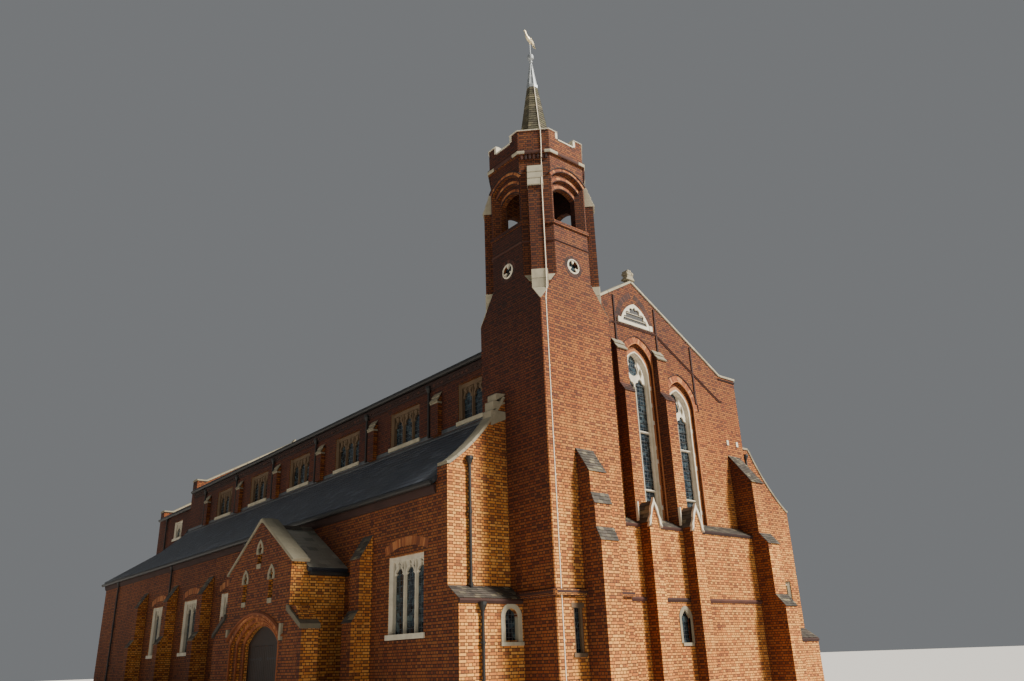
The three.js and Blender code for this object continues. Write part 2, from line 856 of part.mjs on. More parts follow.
function porchGable() {
  const inside = PORCH_HALF - PORCH_SIDE_WALL - GAP;
  const front = PORCH_FRONT + PORCH_FRONT_WALL;
  const outline = [
    [PORCH_AXIS - inside, 2300 + GAP],
    [PORCH_AXIS + inside, 2300 + GAP],
    [PORCH_AXIS + inside, PORCH_EAVES + GAP],
    [PORCH_AXIS + PORCH_HALF, PORCH_EAVES + GAP],
    [PORCH_AXIS + PORCH_HALF, PORCH_EAVES + 250],
    [PORCH_AXIS, porchApex + 300],
    [PORCH_AXIS - PORCH_HALF, PORCH_EAVES + 250],
    [PORCH_AXIS - PORCH_HALF, PORCH_EAVES + GAP],
    [PORCH_AXIS - inside, PORCH_EAVES + GAP],
  ];
  const wall = along(outline, PORCH_FRONT, front);
  const orders = [
    { half: 1700, rise: 730, depth: 120 },
    { half: 1450, rise: 610, depth: 240 },
    { half: DOORWAY_HALF, rise: 500, depth: 600 },
  ];
  const cuts = orders.map(({ half, rise, depth }) =>
    along(roundedArch(PORCH_AXIS, half, 2200, 2300, rise, 12), PORCH_FRONT - 10, PORCH_FRONT + depth),
  );
  const lancets = [-930, 930].map((offset) =>
    along(pointedArch(PORCH_AXIS + offset, 150, 3500, 4140, 160, 4), PORCH_FRONT - 10, front + 10),
  );
  const niche = along(pointedArch(PORCH_AXIS, 150, 4550, 4950, 160, 4), PORCH_FRONT - 10, PORCH_FRONT + 250);
  return combine(wall, [], [...cuts, ...lancets, niche]);
}

function porchRoof() {
  const half = PORCH_HALF + 120;
  const foot = PORCH_EAVES - PORCH_PITCH * 120;
  const top = PORCH_EAVES + PORCH_PITCH * PORCH_HALF;
  const outline = [
    [PORCH_AXIS - half, foot],
    [PORCH_AXIS, top],
    [PORCH_AXIS + half, foot],
    [PORCH_AXIS + half, foot + 140],
    [PORCH_AXIS, top + 140],
    [PORCH_AXIS - half, foot + 140],
  ];
  return along(outline, PORCH_FRONT + PORCH_FRONT_WALL + GAP, -AISLE_HALF - GAP);
}

function porchCoping() {
  const deep = 110;
  const lift = 300 + GAP;
  const slope = (porchApex + 300 - (PORCH_EAVES + 250)) / PORCH_HALF;
  const half = PORCH_HALF + 100;
  const at = (offset) => porchApex + lift - slope * Math.abs(offset);
  const outline = [
    [PORCH_AXIS - half, at(half)],
    [PORCH_AXIS, at(0)],
    [PORCH_AXIS + half, at(half)],
    [PORCH_AXIS + half, at(half) + deep],
    [PORCH_AXIS, at(0) + deep],
    [PORCH_AXIS - half, at(half) + deep],
  ];
  return along(outline, PORCH_FRONT - 50, PORCH_FRONT + PORCH_FRONT_WALL + 50);
}

// Doors: a fixed frame with pins, and two leaves with rings that turn on them
const FRAME_POST = 60;
const DOOR_HEAD = 2240;
const DOOR_FOOT = FLOOR_TOP + 10;
const LEAF_FRONT = PORCH_FRONT + PORCH_FRONT_WALL - 60;
const LEAF_BACK = LEAF_FRONT + 50;
const FRAME_BACK = LEAF_BACK + 8;
const DOOR_GAP = 6;
const HINGE_X = LEAF_BACK + 26;
const HINGE_OFFSET = DOORWAY_HALF - FRAME_POST - 3;
const HINGE_HEIGHTS = [450, 1850];
const RING_RADIUS = 14;
const RING_HIGH = 60;

function upright(x, y, radius, z0, z1) {
  const geometry = new THREE.CylinderGeometry(radius, radius, z1 - z0, 12);
  geometry.rotateX(Math.PI / 2);
  geometry.translate(x, y, (z0 + z1) / 2);
  return geometry;
}

function doorFrame() {
  const half = DOORWAY_HALF - GAP;
  const inside = half - FRAME_POST;
  const arch = roundedArch(PORCH_AXIS, half, FLOOR_TOP + GAP, 2300, 500 - 1, 12);
  const body = along(arch, LEAF_FRONT - 10, FRAME_BACK);
  const doorway = box(
    LEAF_FRONT - 100,
    FRAME_BACK + 100,
    PORCH_AXIS - inside,
    PORCH_AXIS + inside,
    0,
    DOOR_HEAD,
  );
  const pins = [];
  for (const side of [-1, 1]) {
    const y = PORCH_AXIS + side * HINGE_OFFSET;
    for (const z of HINGE_HEIGHTS) {
      const from = y - side * RING_RADIUS;
      const to = PORCH_AXIS + side * half;
      pins.push(box(FRAME_BACK - 4, HINGE_X + RING_RADIUS, Math.min(y, to), Math.max(y, to), z - 20, z));
      pins.push(box(HINGE_X - 12, HINGE_X + RING_RADIUS, Math.min(from, y), Math.max(from, y), z - 20, z));
      pins.push(upright(HINGE_X, y, 8, z - 10, z + RING_HIGH - 5));
    }
  }
  return toGeometry(
    pins.reduce(
      (result, pin) => result.add(toManifold(pin)),
      toManifold(body).subtract(toManifold(doorway)),
    ),
  );
}

function doorLeaf(side) {
  const hinged = PORCH_AXIS + side * (DOORWAY_HALF - GAP - FRAME_POST - DOOR_GAP);
  const free = PORCH_AXIS + side * (DOOR_GAP / 2);
  const y0 = Math.min(hinged, free);
  const y1 = Math.max(hinged, free);
  const leaf = box(LEAF_FRONT, LEAF_BACK, y0, y1, DOOR_FOOT, DOOR_HEAD - DOOR_GAP);
  const hingeY = PORCH_AXIS + side * HINGE_OFFSET;
  const added = [];
  const bores = [];
  for (const z of HINGE_HEIGHTS) {
    const strapEnd = hingeY - side * 420;
    added.push(
      box(
        LEAF_BACK - 5,
        HINGE_X - 4,
        Math.min(hingeY, strapEnd),
        Math.max(hingeY, strapEnd),
        z + GAP,
        z + RING_HIGH,
      ),
    );
    added.push(upright(HINGE_X, hingeY, RING_RADIUS, z + GAP, z + RING_HIGH));
    bores.push(upright(HINGE_X, hingeY, 8 + GAP, z - 5, z + RING_HIGH + 5));
  }
  return combine(leaf, added, bores);
}

// The floor inside the walls
function floorSlab() {
  const side = AISLE_HALF - AISLE_WALL - GAP;
  const front = NAVE_WALL + GAP;
  const body = upward(
    [
      [-side, front],
      [side, front],
      [side, AISLE_END - 450 - GAP],
      [-side, AISLE_END - 450 - GAP],
    ],
    0,
    FLOOR_TOP,
  );
  const chancel = box(
    -CHANCEL_HALF + CHANCEL_WALL + GAP,
    CHANCEL_HALF - CHANCEL_WALL - GAP,
    AISLE_END - 500,
    CHANCEL_END - CHANCEL_WALL - GAP,
    0,
    FLOOR_TOP,
  );
  const porch = box(
    PORCH_FRONT + 240,
    -side + 10,
    PORCH_AXIS - 790,
    PORCH_AXIS + 790,
    0,
    FLOOR_TOP,
  );
  const porchWide = box(
    PORCH_FRONT + 240,
    -AISLE_HALF - GAP,
    PORCH_AXIS - DOORWAY_HALF + GAP,
    PORCH_AXIS + DOORWAY_HALF - GAP,
    0,
    FLOOR_TOP,
  );
  const cuts = [
    towerNotch,
    box(-NAVE_HALF - GAP, -3000 + GAP, NAVE_END - NAVE_WALL - GAP, NAVE_END + GAP, -10, 200),
    box(3000 - GAP, NAVE_HALF + GAP, NAVE_END - NAVE_WALL - GAP, NAVE_END + GAP, -10, 200),
    box(-CHANCEL_HALF - GAP, -CHANCEL_HALF + CHANCEL_WALL + GAP, NAVE_END - 10, CHANCEL_END, -10, 200),
    box(CHANCEL_HALF - CHANCEL_WALL - GAP, CHANCEL_HALF + GAP, NAVE_END - 10, CHANCEL_END, -10, 200),
  ];
  return combine(body, [chancel, porch, porchWide], cuts);
}

// Tower
add("tower_shaft", towerShaft(), "brick");
add("tower_octagon", towerOctagon(), "brick");
add("belfry_stage", belfryStage(), "brick");
add("tower_parapet", towerParapet(), "brick");
add("tower_roof_deck", upward(octagon(TOWER_HALF - 220 - GAP), BELFRY_TOP + GAP, PARAPET_FOOT), "lead");
add("spire", eightSided(665, 155, PARAPET_FOOT + GAP, SPIRE_TOP), "tile");
add("spire_cap", eightSided(168, 38, SPIRE_TOP + GAP, CAP_TOP), "lead");
add("spire_finial", finial(), "lead");
add("weather_vane", weatherVane(), "gilt");
const TOWER_BUTTRESS_STEPS = [
  [0, 6800],
  [440, 6150],
  [450, 5550],
  [550, 5300],
  [560, 4650],
  [700, 4350],
];
add(
  "tower_buttress",
  steppedButtress(towerLeft + 1000, towerLeft + 1620, TOWER_FRONT, TOWER_BUTTRESS_STEPS),
  "brick",
);

// West front
add("west_wall", westWall(), "brick");
const PLINTH_OUT = 500;
const PLINTH_TOP = 5250;
const CORNER_BUTTRESS_LEFT = 4400;
add(
  "west_plinth",
  across(rectangle(wallLeft, CORNER_BUTTRESS_LEFT - GAP, 0, PLINTH_TOP), -PLINTH_OUT, -GAP, [
    rectangle(250, 650, 1900, 2850),
  ]),
  "brick",
);
add("west_coping", westCoping(), "stone");
add("gable_cross_stump", crossStump(), "stone");

// A buttress that stands on the gable wall above the plinth and against the plinth below it.
// Its lowest stage is thicker and ends under a small saddle roof whose gable faces west.
const FRONT_BUTTRESS_HALF = 235;

function frontButtress(middle) {
  const profile = [
    [-GAP, 11330],
    [-200, 10950],
    [-215, 9750],
    [-400, 9470],
    [-415, 5290],
    [-880, 5290],
    [-880, 0],
    [-PLINTH_OUT - GAP, 0],
    [-PLINTH_OUT - GAP, PLINTH_TOP + GAP],
    [-GAP, PLINTH_TOP + GAP],
  ];
  const saddle = [
    [middle - FRONT_BUTTRESS_HALF, 5280],
    [middle + FRONT_BUTTRESS_HALF, 5280],
    [middle, 5870],
  ];
  const body = along(profile, middle - FRONT_BUTTRESS_HALF, middle + FRONT_BUTTRESS_HALF);
  return combine(body, [across(saddle, -880, -405)]);
}

add("west_buttress_left", frontButtress(-985), "brick");
add("west_buttress_right", frontButtress(985), "brick");
const CORNER_BUTTRESS_STEPS = [
  [0, 8100],
  [800, 7050],
  [810, 5300],
  [1100, 4950],
  [1110, 3300],
  [1400, 2950],
];
add(
  "west_corner_buttress",
  steppedButtress(CORNER_BUTTRESS_LEFT, 5050, 0, CORNER_BUTTRESS_STEPS),
  "brick",
);
add("west_window_centre", lancetFrame(CENTRE_LANCET, [6500, 8420]), "stone");
add("west_window_right", lancetFrame(RIGHT_LANCET, [6360, 8060]), "stone");
add(
  "west_glass",
  across(rectangle(-700, 2700, 5300, 11300), NAVE_WALL + GAP, NAVE_WALL + 12),
  "glass",
);
add("gable_louvre", gableLouvre(), "oak");

// Nave
const clerestoryLeft = mirrorX(clerestoryWall(towerBack + 0.6));
add("clerestory_wall_left", clerestoryLeft, "brick");
add("clerestory_wall_right", clerestoryWall(NAVE_WALL + GAP), "brick");
add("arcade_left", mirrorX(arcade(towerBack + 0.6)), "brick");
add("arcade_right", arcade(NAVE_WALL + GAP), "brick");
const glassLine = NAVE_HALF - NAVE_WALL;
for (const [name, x0] of [
  ["clerestory_glass_left", -glassLine + GAP],
  ["clerestory_glass_right", glassLine - 12],
]) {
  const sheet = box(x0, x0 + 12 - GAP, 1200, NAVE_END - NAVE_WALL - 2000, 8400, 9850);
  add(name, sheet, "glass");
}
add(
  "nave_roof",
  combine(
    pitchedRoof(NAVE_HALF, NAVE_EAVES, NAVE_WALL + GAP, NAVE_END - NAVE_WALL - GAP),
    [],
    [towerNotch, box(wallLeft - 100, NAVE_HALF + 300, 0, NAVE_WALL + 45, GABLE_APEX - 4000, GABLE_APEX)],
  ),
  "slate",
);
add("nave_east_wall", naveEastWall(), "brick");

// Chancel
add("chancel_wall_left", mirrorX(chancelWall()), "brick");
add("chancel_wall_right", chancelWall(), "brick");
const EAST_LANCETS = [-1500, 0, 1500].map((x) => pointedArch(x, 450, 3200, 6900 - Math.abs(x) * 0.5, 900, 5));
add(
  "chancel_east_wall",
  eastGable(CHANCEL_HALF, 10300, 12850, CHANCEL_END - CHANCEL_WALL, CHANCEL_END, EAST_LANCETS),
  "brick",
);
add(
  "chancel_roof",
  pitchedRoof(CHANCEL_HALF, CHANCEL_EAVES, NAVE_END + GAP, CHANCEL_END - CHANCEL_WALL - GAP),
  "slate",
);
add(
  "east_glass",
  across(
    rectangle(-2100, 2100, 3100, 8000),
    CHANCEL_END - CHANCEL_WALL - 12,
    CHANCEL_END - CHANCEL_WALL - GAP,
  ),
  "glass",
);

// Aisles
const aisleDoorway = rectangle(PORCH_AXIS - 800, PORCH_AXIS + 800, -10, 2500);
const leftMiddles = windowMiddles.filter((y) => Math.abs(y - PORCH_AXIS) > PORCH_HALF + 950);
add("aisle_west_wall_left", mirrorX(aisleWestWall(-towerLeft + GAP, true)), "brick");
add("aisle_west_wall_right", aisleWestWall(NAVE_HALF + GAP, false), "brick");
add("aisle_wall_left", mirrorX(aisleWall(leftMiddles, aisleDoorway)), "brick");
add("aisle_wall_right", aisleWall(windowMiddles, null), "brick");
add("aisle_roof_left", combine(mirrorX(aisleRoof()), [], [towerNotch]), "slate");
add("aisle_roof_right", aisleRoof(), "slate");
const aisleGlassLine = AISLE_HALF - AISLE_WALL;
for (const [name, x0, y0] of [
  ["aisle_glass_left", -aisleGlassLine + GAP, 12500],
  ["aisle_glass_right", aisleGlassLine - 12, 900],
]) {
  add(name, box(x0, x0 + 12 - GAP, y0, 23200, 2200, 4400), "glass");
}
add("floor", floorSlab(), "floor");

// Porch
add("porch_wall_left", porchWall(1), "brick");
add("porch_wall_right", porchWall(-1), "brick");
add("porch_gable", porchGable(), "brick");
add("porch_roof", porchRoof(), "slate");
add("porch_coping", porchCoping(), "stone");
add("porch_door_frame", doorFrame(), "oak");
add("porch_door_left", doorLeaf(1), "oak");
add("porch_door_right", doorLeaf(-1), "oak");

// Origin: the middle of the footprint, at ground level
const footprint = new THREE.Box3().setFromObject(church);
church.position.set(-(footprint.min.x + footprint.max.x) / 2, -(footprint.min.y + footprint.max.y) / 2, 0);

export default church;
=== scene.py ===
"""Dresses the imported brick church: masonry, stone dressings, windows, roofs, tower, porch and doors."""

import json
import math
import random

import bmesh
import bpy
from mathutils import Matrix, Vector


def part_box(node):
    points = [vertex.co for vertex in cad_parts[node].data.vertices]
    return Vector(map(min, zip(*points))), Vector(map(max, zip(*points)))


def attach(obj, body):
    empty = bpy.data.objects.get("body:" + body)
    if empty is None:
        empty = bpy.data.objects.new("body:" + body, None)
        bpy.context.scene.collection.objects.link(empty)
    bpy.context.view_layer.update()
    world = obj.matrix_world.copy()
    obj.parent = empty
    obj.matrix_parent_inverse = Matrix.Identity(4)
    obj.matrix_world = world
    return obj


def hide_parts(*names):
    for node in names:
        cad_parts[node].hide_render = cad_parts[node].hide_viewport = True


bl_info = {
    "name": "Brick church",
    "version": (1, 0, 0),
    "blender": (4, 5, 0),
    "location": "View3D > Sidebar > Church",
    "description": "Builds the visible detail of a brick church around its solid model",
    "category": "Object",
}

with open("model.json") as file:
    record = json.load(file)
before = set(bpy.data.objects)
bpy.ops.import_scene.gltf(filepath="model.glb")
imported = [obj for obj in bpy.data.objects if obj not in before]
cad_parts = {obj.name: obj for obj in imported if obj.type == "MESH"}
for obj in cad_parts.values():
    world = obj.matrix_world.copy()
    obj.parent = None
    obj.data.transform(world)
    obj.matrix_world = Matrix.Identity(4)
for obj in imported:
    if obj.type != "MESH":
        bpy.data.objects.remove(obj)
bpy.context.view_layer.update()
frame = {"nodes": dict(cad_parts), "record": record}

# Church metres: x from the nave's axis, y from the west gable's outer face, z from the ground
nave_low, nave_high = (Vector(corner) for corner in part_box("nave_east_wall"))
gable_low = Vector(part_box("west_wall")[0])
ORIGIN = Vector(((nave_low.x + nave_high.x) / 2, gable_low.y, 0.0))

BUILDING = "building"
# Turns from the west side to the others, and round the tower
NORTH, SOUTH, EAST = -90.0, 90.0, 180.0
QUARTERS, DIAGONALS = (0, 90, 180, 270), (45, 135, 225, 315)
# Mouldings across a wall that faces west are drawn with this as their up direction
WEST_UP = (0, -1, 0)

NAVE_HALF = 5.35
NAVE_EAVES = 10.31
NAVE_PITCH = 0.55
NAVE_END = 26.6
GABLE_APEX = 13.68
GABLE_SLOPE = 0.58
KNEELER_TOP = 11.08
KNEELER_INSIDE = (GABLE_APEX - KNEELER_TOP) / GABLE_SLOPE
TOWER_X, TOWER_Y = -4.395, -0.225
TOWER_HALF = 1.375
TOWER_RIGHT = -3.02
DIAGONAL_FACE = 1.4637
SPIRE_TOP, SPIRE_CAP_TOP = 19.75, 20.71
# Half width, springing, rise and depth of each stepped order
BELFRY_ORDERS = [(0.65, 15.26, 0.32, 0.0), (0.56, 15.06, 0.27, 0.11), (0.455, 14.88, 0.21, 0.21)]
# How much of half a side stays straight where the tower is eight-sided
CORNER_SHARE = 0.695 / 1.375
AISLE_HALF = 7.77
AISLE_FRONT = 0.108
AISLE_EAVES = 6.04
AISLE_ROOF_TOP, CHAPEL_ROOF_TOP = 8.3, 8.05
AISLE_END = 31.0
CHANCEL_HALF = 4.85
CHANCEL_EAVES = 9.83
CHANCEL_END = 33.1
# The slates lie this far above the line of the wall heads
ROOF_DEEP = 0.16
BAY = 3.985
WINDOW_MIDDLES = [2.0 + BAY * i for i in range(6)]
PIER_MIDDLES = [y + BAY / 2 for y in WINDOW_MIDDLES]
PORCH_AXIS = 7.5
PORCH_HALF = 2.25
PORCH_FRONT = -9.47
PORCH_EAVES = 4.2
PORCH_PITCH = 0.6
PORCH_RIDGE = PORCH_EAVES + PORCH_PITCH * PORCH_HALF
# Middle, springing and the two transoms of each tall west window
LANCETS = [(0.0, 10.35, (6.5, 8.42)), (2.0, 9.36, (6.36, 8.06))]
LANCET_HALF, LANCET_RISE, LANCET_FOOT = 0.62, 0.82, 5.4
# Width of an arch brick, how far brick trim stands proud, and how thick panes, slates and tiles are
ARCH_BRICK, FLUSH, PANE = 0.075, 0.004, 0.006
SLATE_THICK, TILE_THICK = 0.009, 0.018

# Profiles as (out, up)
LEDGE_STRING = [(-0.07, -0.01), (-0.07, 0.02), (0.0, 0.06), (0.04, 0.05), (0.06, -0.01)]
GUTTER = [(0.0, 0.05), (0.0, -0.02), (0.03, -0.055), (0.07, -0.065), (0.11, -0.045), (0.13, 0.0),
          (0.13, 0.05), (0.115, 0.05), (0.11, 0.0), (0.07, -0.04), (0.03, -0.03), (0.02, 0.05)]
RIDGE = [(0.13, -0.085), (0.015, 0.0), (0.022, 0.03), (-0.022, 0.03), (-0.015, 0.0), (-0.13, -0.085),
         (-0.13, -0.06), (-0.03, 0.02), (-0.03, 0.05), (0.03, 0.05), (0.03, 0.02), (0.13, -0.06)]


# Colours and nodes
def linear(colour):
    """A hex sRGB colour as linear red, green, blue and alpha."""
    channels = [int(colour[i : i + 2], 16) / 255 for i in (1, 3, 5)]
    return tuple(c / 12.92 if c <= 0.04045 else ((c + 0.055) / 1.055) ** 2.4 for c in channels) + (1.0,)


def plug(tree, socket, value):
    """Links another node's output to a socket, or gives the socket a value of its own."""
    if isinstance(value, bpy.types.NodeSocket):
        tree.links.new(value, socket)
    else:
        socket.default_value = value


def add(tree, kind, settings=None, inputs=None):
    """One node; settings are its properties, inputs are values or other nodes' outputs by socket."""
    node = tree.nodes.new("ShaderNode" + kind)
    for name, value in (settings or {}).items():
        setattr(node, name, value)
    for name, value in (inputs or {}).items():
        plug(tree, node.inputs[name], value)
    return node


def calculate(tree, operation, first, second=0.0):
    """The result of one sum on two values."""
    return add(tree, "Math", {"operation": operation}, {0: first, 1: second}).outputs[0]


def product(tree, first, second):
    """Two values multiplied."""
    return calculate(tree, "MULTIPLY", first, second)


def total(tree, first, second):
    """Two values added."""
    return calculate(tree, "ADD", first, second)


def between(tree, value, low, high):
    """A value from 0 to 1 spread from low to high."""
    return add(tree, "MapRange", None, {"Value": value, "To Min": low, "To Max": high}).outputs[0]


def share_of(tree, value, low, high):
    """How far a value has come from low to high, as 0 to 1."""
    return add(tree, "MapRange", None, {"Value": value, "From Min": low, "From Max": high}).outputs[0]


def part_of(tree, vector, axis):
    """One axis of a vector."""
    return add(tree, "SeparateXYZ", None, {0: vector}).outputs[axis]


def ramp(tree, factor, stops):
    """A colour ramp through (place, colour) stops; a colour is hex or linear."""
    node = add(tree, "ValToRGB", None, {"Fac": factor})
    elements = node.color_ramp.elements
    while len(elements) < len(stops):
        elements.new(0.5)
    for element, (place, colour) in zip(elements, stops):
        element.position = place
        element.color = linear(colour) if isinstance(colour, str) else colour
    return node.outputs["Color"]


def mix(tree, factor, first, second, blend="MIX"):
    """Two colours mixed by a factor; a colour is hex, linear or another node's."""
    first, second = (linear(colour) if isinstance(colour, str) else colour for colour in (first, second))
    settings = {"data_type": "RGBA", "blend_type": blend}
    return add(tree, "Mix", settings, {"Factor": factor, 6: first, 7: second}).outputs[2]


def spread(tree, factor, low, high, most="#FFFFFF"):
    """How much of a second colour shows: none where the factor is below low, the most above high."""
    return ramp(tree, factor, [(low, "#000000"), (high, most)])


def dim(tree, strength, body, factor, low, high, tone):
    """A colour dimmed towards a tone as the factor goes from low to high."""
    return mix(tree, strength, body, ramp(tree, factor, [(low, "#FFFFFF"), (high, tone)]), "MULTIPLY")


def noise(tree, vector, scale, detail=3.0, roughness=0.55):
    """Noise whose grains are 1/scale metres."""
    inputs = {"Vector": vector, "Scale": scale, "Detail": detail, "Roughness": roughness}
    return add(tree, "TexNoise", None, inputs).outputs["Fac"]


def stretched(tree, vector, scale):
    """The vector scaled on each axis."""
    return add(tree, "Mapping", None, {"Vector": vector, "Scale": scale}).outputs["Vector"]


def start_material(name):
    """A new material, its tree, its shader and the object coordinates."""
    material = bpy.data.materials.new(name)
    material.use_nodes = True
    tree = material.node_tree
    shader = tree.nodes["Principled BSDF"]
    place = add(tree, "TexCoord").outputs["Object"]
    return material, tree, shader, place


def facing_normal(tree):
    """Which way the surface faces, in the object's own frame."""
    return add(tree, "TexCoord").outputs["Normal"]


def own_tint(tree):
    """The shade given to each separate brick, stone, slate or tile."""
    return add(tree, "Attribute", {"attribute_name": "tint"}).outputs["Fac"]


def coat(tree, shader, body, rough, height, distance, strength):
    """Gives the shader its colour, roughness and relief; distance is the relief's depth in metres."""
    plug(tree, shader.inputs["Base Color"], body)
    plug(tree, shader.inputs["Roughness"], rough)
    inputs = {"Height": height, "Distance": distance, "Strength": strength}
    plug(tree, shader.inputs["Normal"], add(tree, "Bump", None, inputs).outputs[0])


def surface_plane(tree, place):
    """Distances along a face's level line and up its slope, as one vector; and the second one alone."""
    normal = facing_normal(tree)
    level = calculate(tree, "GREATER_THAN", calculate(tree, "ABSOLUTE", part_of(tree, normal, "Z")), 0.95)
    across = add(tree, "VectorMath", {"operation": "CROSS_PRODUCT"}, {0: (0, 0, 1), 1: normal})
    across = add(tree, "VectorMath", {"operation": "NORMALIZE"}, {0: across.outputs[0]})
    inputs = {"Factor": level, 4: across.outputs[0], 5: (1, 0, 0)}
    across = add(tree, "Mix", {"data_type": "VECTOR"}, inputs).outputs[1]
    upward = add(tree, "VectorMath", {"operation": "CROSS_PRODUCT"}, {0: normal, 1: across}).outputs[0]
    along = add(tree, "VectorMath", {"operation": "DOT_PRODUCT"}, {0: place, 1: across}).outputs["Value"]
    up = add(tree, "VectorMath", {"operation": "DOT_PRODUCT"}, {0: place, 1: upward}).outputs["Value"]
    return add(tree, "CombineXYZ", None, {0: along, 1: up}).outputs[0], up


# Materials
def brick_material(name, colours, sizes):
    """Facing brick in English bond: each brick its own warm shade, dark headers in patches, sooty streaks;
    painted light makes it darker with height, and painted shade darkens the side away from the key light.
    """
    material, tree, shader, place = start_material(name)
    plane, up = surface_plane(tree, place)
    # The joint is drawn about twice as wide as a real one, which would be too fine to show
    inputs = {
        "Vector": plane,
        "Color1": (0, 0, 0, 1),
        "Color2": (1, 1, 1, 1),
        "Mortar": (0.5, 0.5, 0.5, 1),
        "Scale": 1.0,
        "Mortar Size": sizes.joint / 2,
        "Mortar Smooth": 0.15,
        "Brick Width": sizes.brick_length,
        "Row Height": sizes.course,
    }
    # Every second course is squashed to half the length, which makes it a course of headers
    pattern = {"offset": 0.5, "offset_frequency": 2, "squash": 0.5, "squash_frequency": 2}
    bricks = add(tree, "TexBrick", pattern, inputs)
    tint, joint = bricks.outputs["Color"], bricks.outputs["Fac"]
    # Of the headers every other one may be burnt dark, more of them in some patches than in others
    course = calculate(tree, "FLOOR", calculate(tree, "DIVIDE", up, sizes.course))
    stretcher = calculate(tree, "FLOORED_MODULO", course, 2.0)
    column = total(tree, calculate(tree, "DIVIDE", part_of(tree, plane, "X"), sizes.brick_length / 2), 0.5)
    turn = calculate(tree, "FLOORED_MODULO", calculate(tree, "FLOOR", column), 2.0)
    share = product(tree, product(tree, noise(tree, place, 0.5, 4.0), 1.1), turn)
    share = total(tree, product(tree, share, calculate(tree, "SUBTRACT", 1.0, stretcher)), 0.02)
    burnt = calculate(tree, "LESS_THAN", tint, share)
    shades = [(0.0, colours.brick_deep), (0.45, colours.brick_middle), (1.0, colours.brick_pale)]
    grain = noise(tree, place, 40.0, 4.0)
    body = mix(tree, product(tree, grain, 0.3), ramp(tree, tint, shades), colours.brick_deep)
    body = mix(tree, product(tree, burnt, 0.62), body, colours.brick_burnt)
    # The joints are partly the mortar's own dark brown and partly painted shade of their recess
    face = mix(tree, joint, body, colours.mortar)
    # Painted light: the walls are painted darker and redder with height, so that the lower walls read as more
    # brightly sunlit than the upper ones
    painted_light_height = share_of(tree, part_of(tree, place, "Z"), 5.0, 14.0)
    stops = [(0.0, "#FFFFFF"), (0.4, "#BCA288"), (0.72, "#927A6A"), (1.0, "#988070")]
    face = mix(tree, 1.0, face, ramp(tree, painted_light_height, stops), "MULTIPLY")
    # Painted shade: faces turned away from the key light are painted darker and redder, as they stand in the
    # shade
    shade_side = share_of(tree, part_of(tree, facing_normal(tree), "X"), -0.5, -0.95)
    face = dim(tree, 1.0, face, shade_side, 0.0, 1.0, "#9E8278")
    # Soot and rain: broad patches, and streaks that run down
    face = dim(tree, 0.8, face, noise(tree, place, 0.25, 5.0), 0.4, 0.75, "#BCA698")
    streaks = noise(tree, stretched(tree, place, (3.0, 3.0, 0.25)), 1.0, 4.0)
    face = dim(tree, 0.6, face, streaks, 0.4, 0.8, "#B9AEA6")
    height = total(tree, calculate(tree, "SUBTRACT", 1.0, joint), product(tree, tint, 0.35))
    height = total(tree, height, product(tree, grain, 0.3))
    coat(tree, shader, face, between(tree, grain, 0.78, 0.95), height, 0.006, 0.8)
    return material


def rubbed_brick(name, colours):
    """Soft brick cut to shape for arches and mouldings: smooth, one shade per brick, dirty in places."""
    material, tree, shader, place = start_material(name)
    grain = noise(tree, place, 60.0, 4.0)
    body = mix(tree, product(tree, grain, 0.4), ramp(tree, own_tint(tree), colours), colours[0][1])
    body = dim(tree, 0.6, body, noise(tree, place, 1.5, 5.0), 0.4, 0.8, "#8A7F78")
    coat(tree, shader, body, 0.88, grain, 0.002, 0.5)
    return material


def limestone(name, light, grime, sooting):
    """Weathered building stone: pale matt faces, soot in patches and drips, grey lichen where it faces up."""
    material, tree, shader, place = start_material(name)
    duller = calculate(tree, "SUBTRACT", 0.35 * sooting, product(tree, own_tint(tree), 0.3))
    broad = noise(tree, place, 2.5, 6.0, 0.65)
    body = mix(tree, spread(tree, broad, 0.42, 0.72, "#B0B0B0"), mix(tree, duller, light, grime), grime)
    drips = noise(tree, stretched(tree, place, (9.0, 9.0, 0.8)), 1.0, 4.0)
    body = mix(tree, spread(tree, drips, 0.5, 0.75, "#808080"), body, grime)
    upward = spread(tree, part_of(tree, facing_normal(tree), "Z"), 0.2, 0.8)
    body = mix(tree, product(tree, upward, 0.45), body, "#6E6C5B")
    height = total(tree, product(tree, noise(tree, place, 90.0, 4.0, 0.7), 0.4), broad)
    coat(tree, shader, body, 0.86, height, 0.004, 0.5)
    return material


def riven_slate(name, dark, middle, pale):
    """Split slate: some darker or paler than the rest, lichen in patches, a riven face with a dull shine."""
    material, tree, shader, place = start_material(name)
    body = ramp(tree, own_tint(tree), [(0.0, dark), (0.3, middle), (0.85, middle), (1.0, pale)])
    body = mix(tree, spread(tree, noise(tree, place, 0.6, 5.0, 0.6), 0.5, 0.8, "#707070"), body, "#6C6D60")
    riven = noise(tree, stretched(tree, place, (6.0, 25.0, 6.0)), 1.5, 5.0, 0.6)
    coat(tree, shader, body, between(tree, riven, 0.42, 0.68), riven, 0.003, 0.6)
    return material


def clay_tile(name, dark, middle, moss):
    """Hand-made plain clay tile: brown, matt and uneven, green with moss in places."""
    material, tree, shader, place = start_material(name)
    growth = noise(tree, place, 5.0, 6.0, 0.7)
    body = ramp(tree, own_tint(tree), [(0.0, dark), (0.8, middle), (1.0, "#7D745C")])
    body = mix(tree, spread(tree, growth, 0.45, 0.7, "#C0C0C0"), body, moss)
    height = total(tree, growth, product(tree, noise(tree, place, 70.0, 4.0, 0.7), 0.5))
    coat(tree, shader, body, 0.88, height, 0.004, 0.6)
    return material


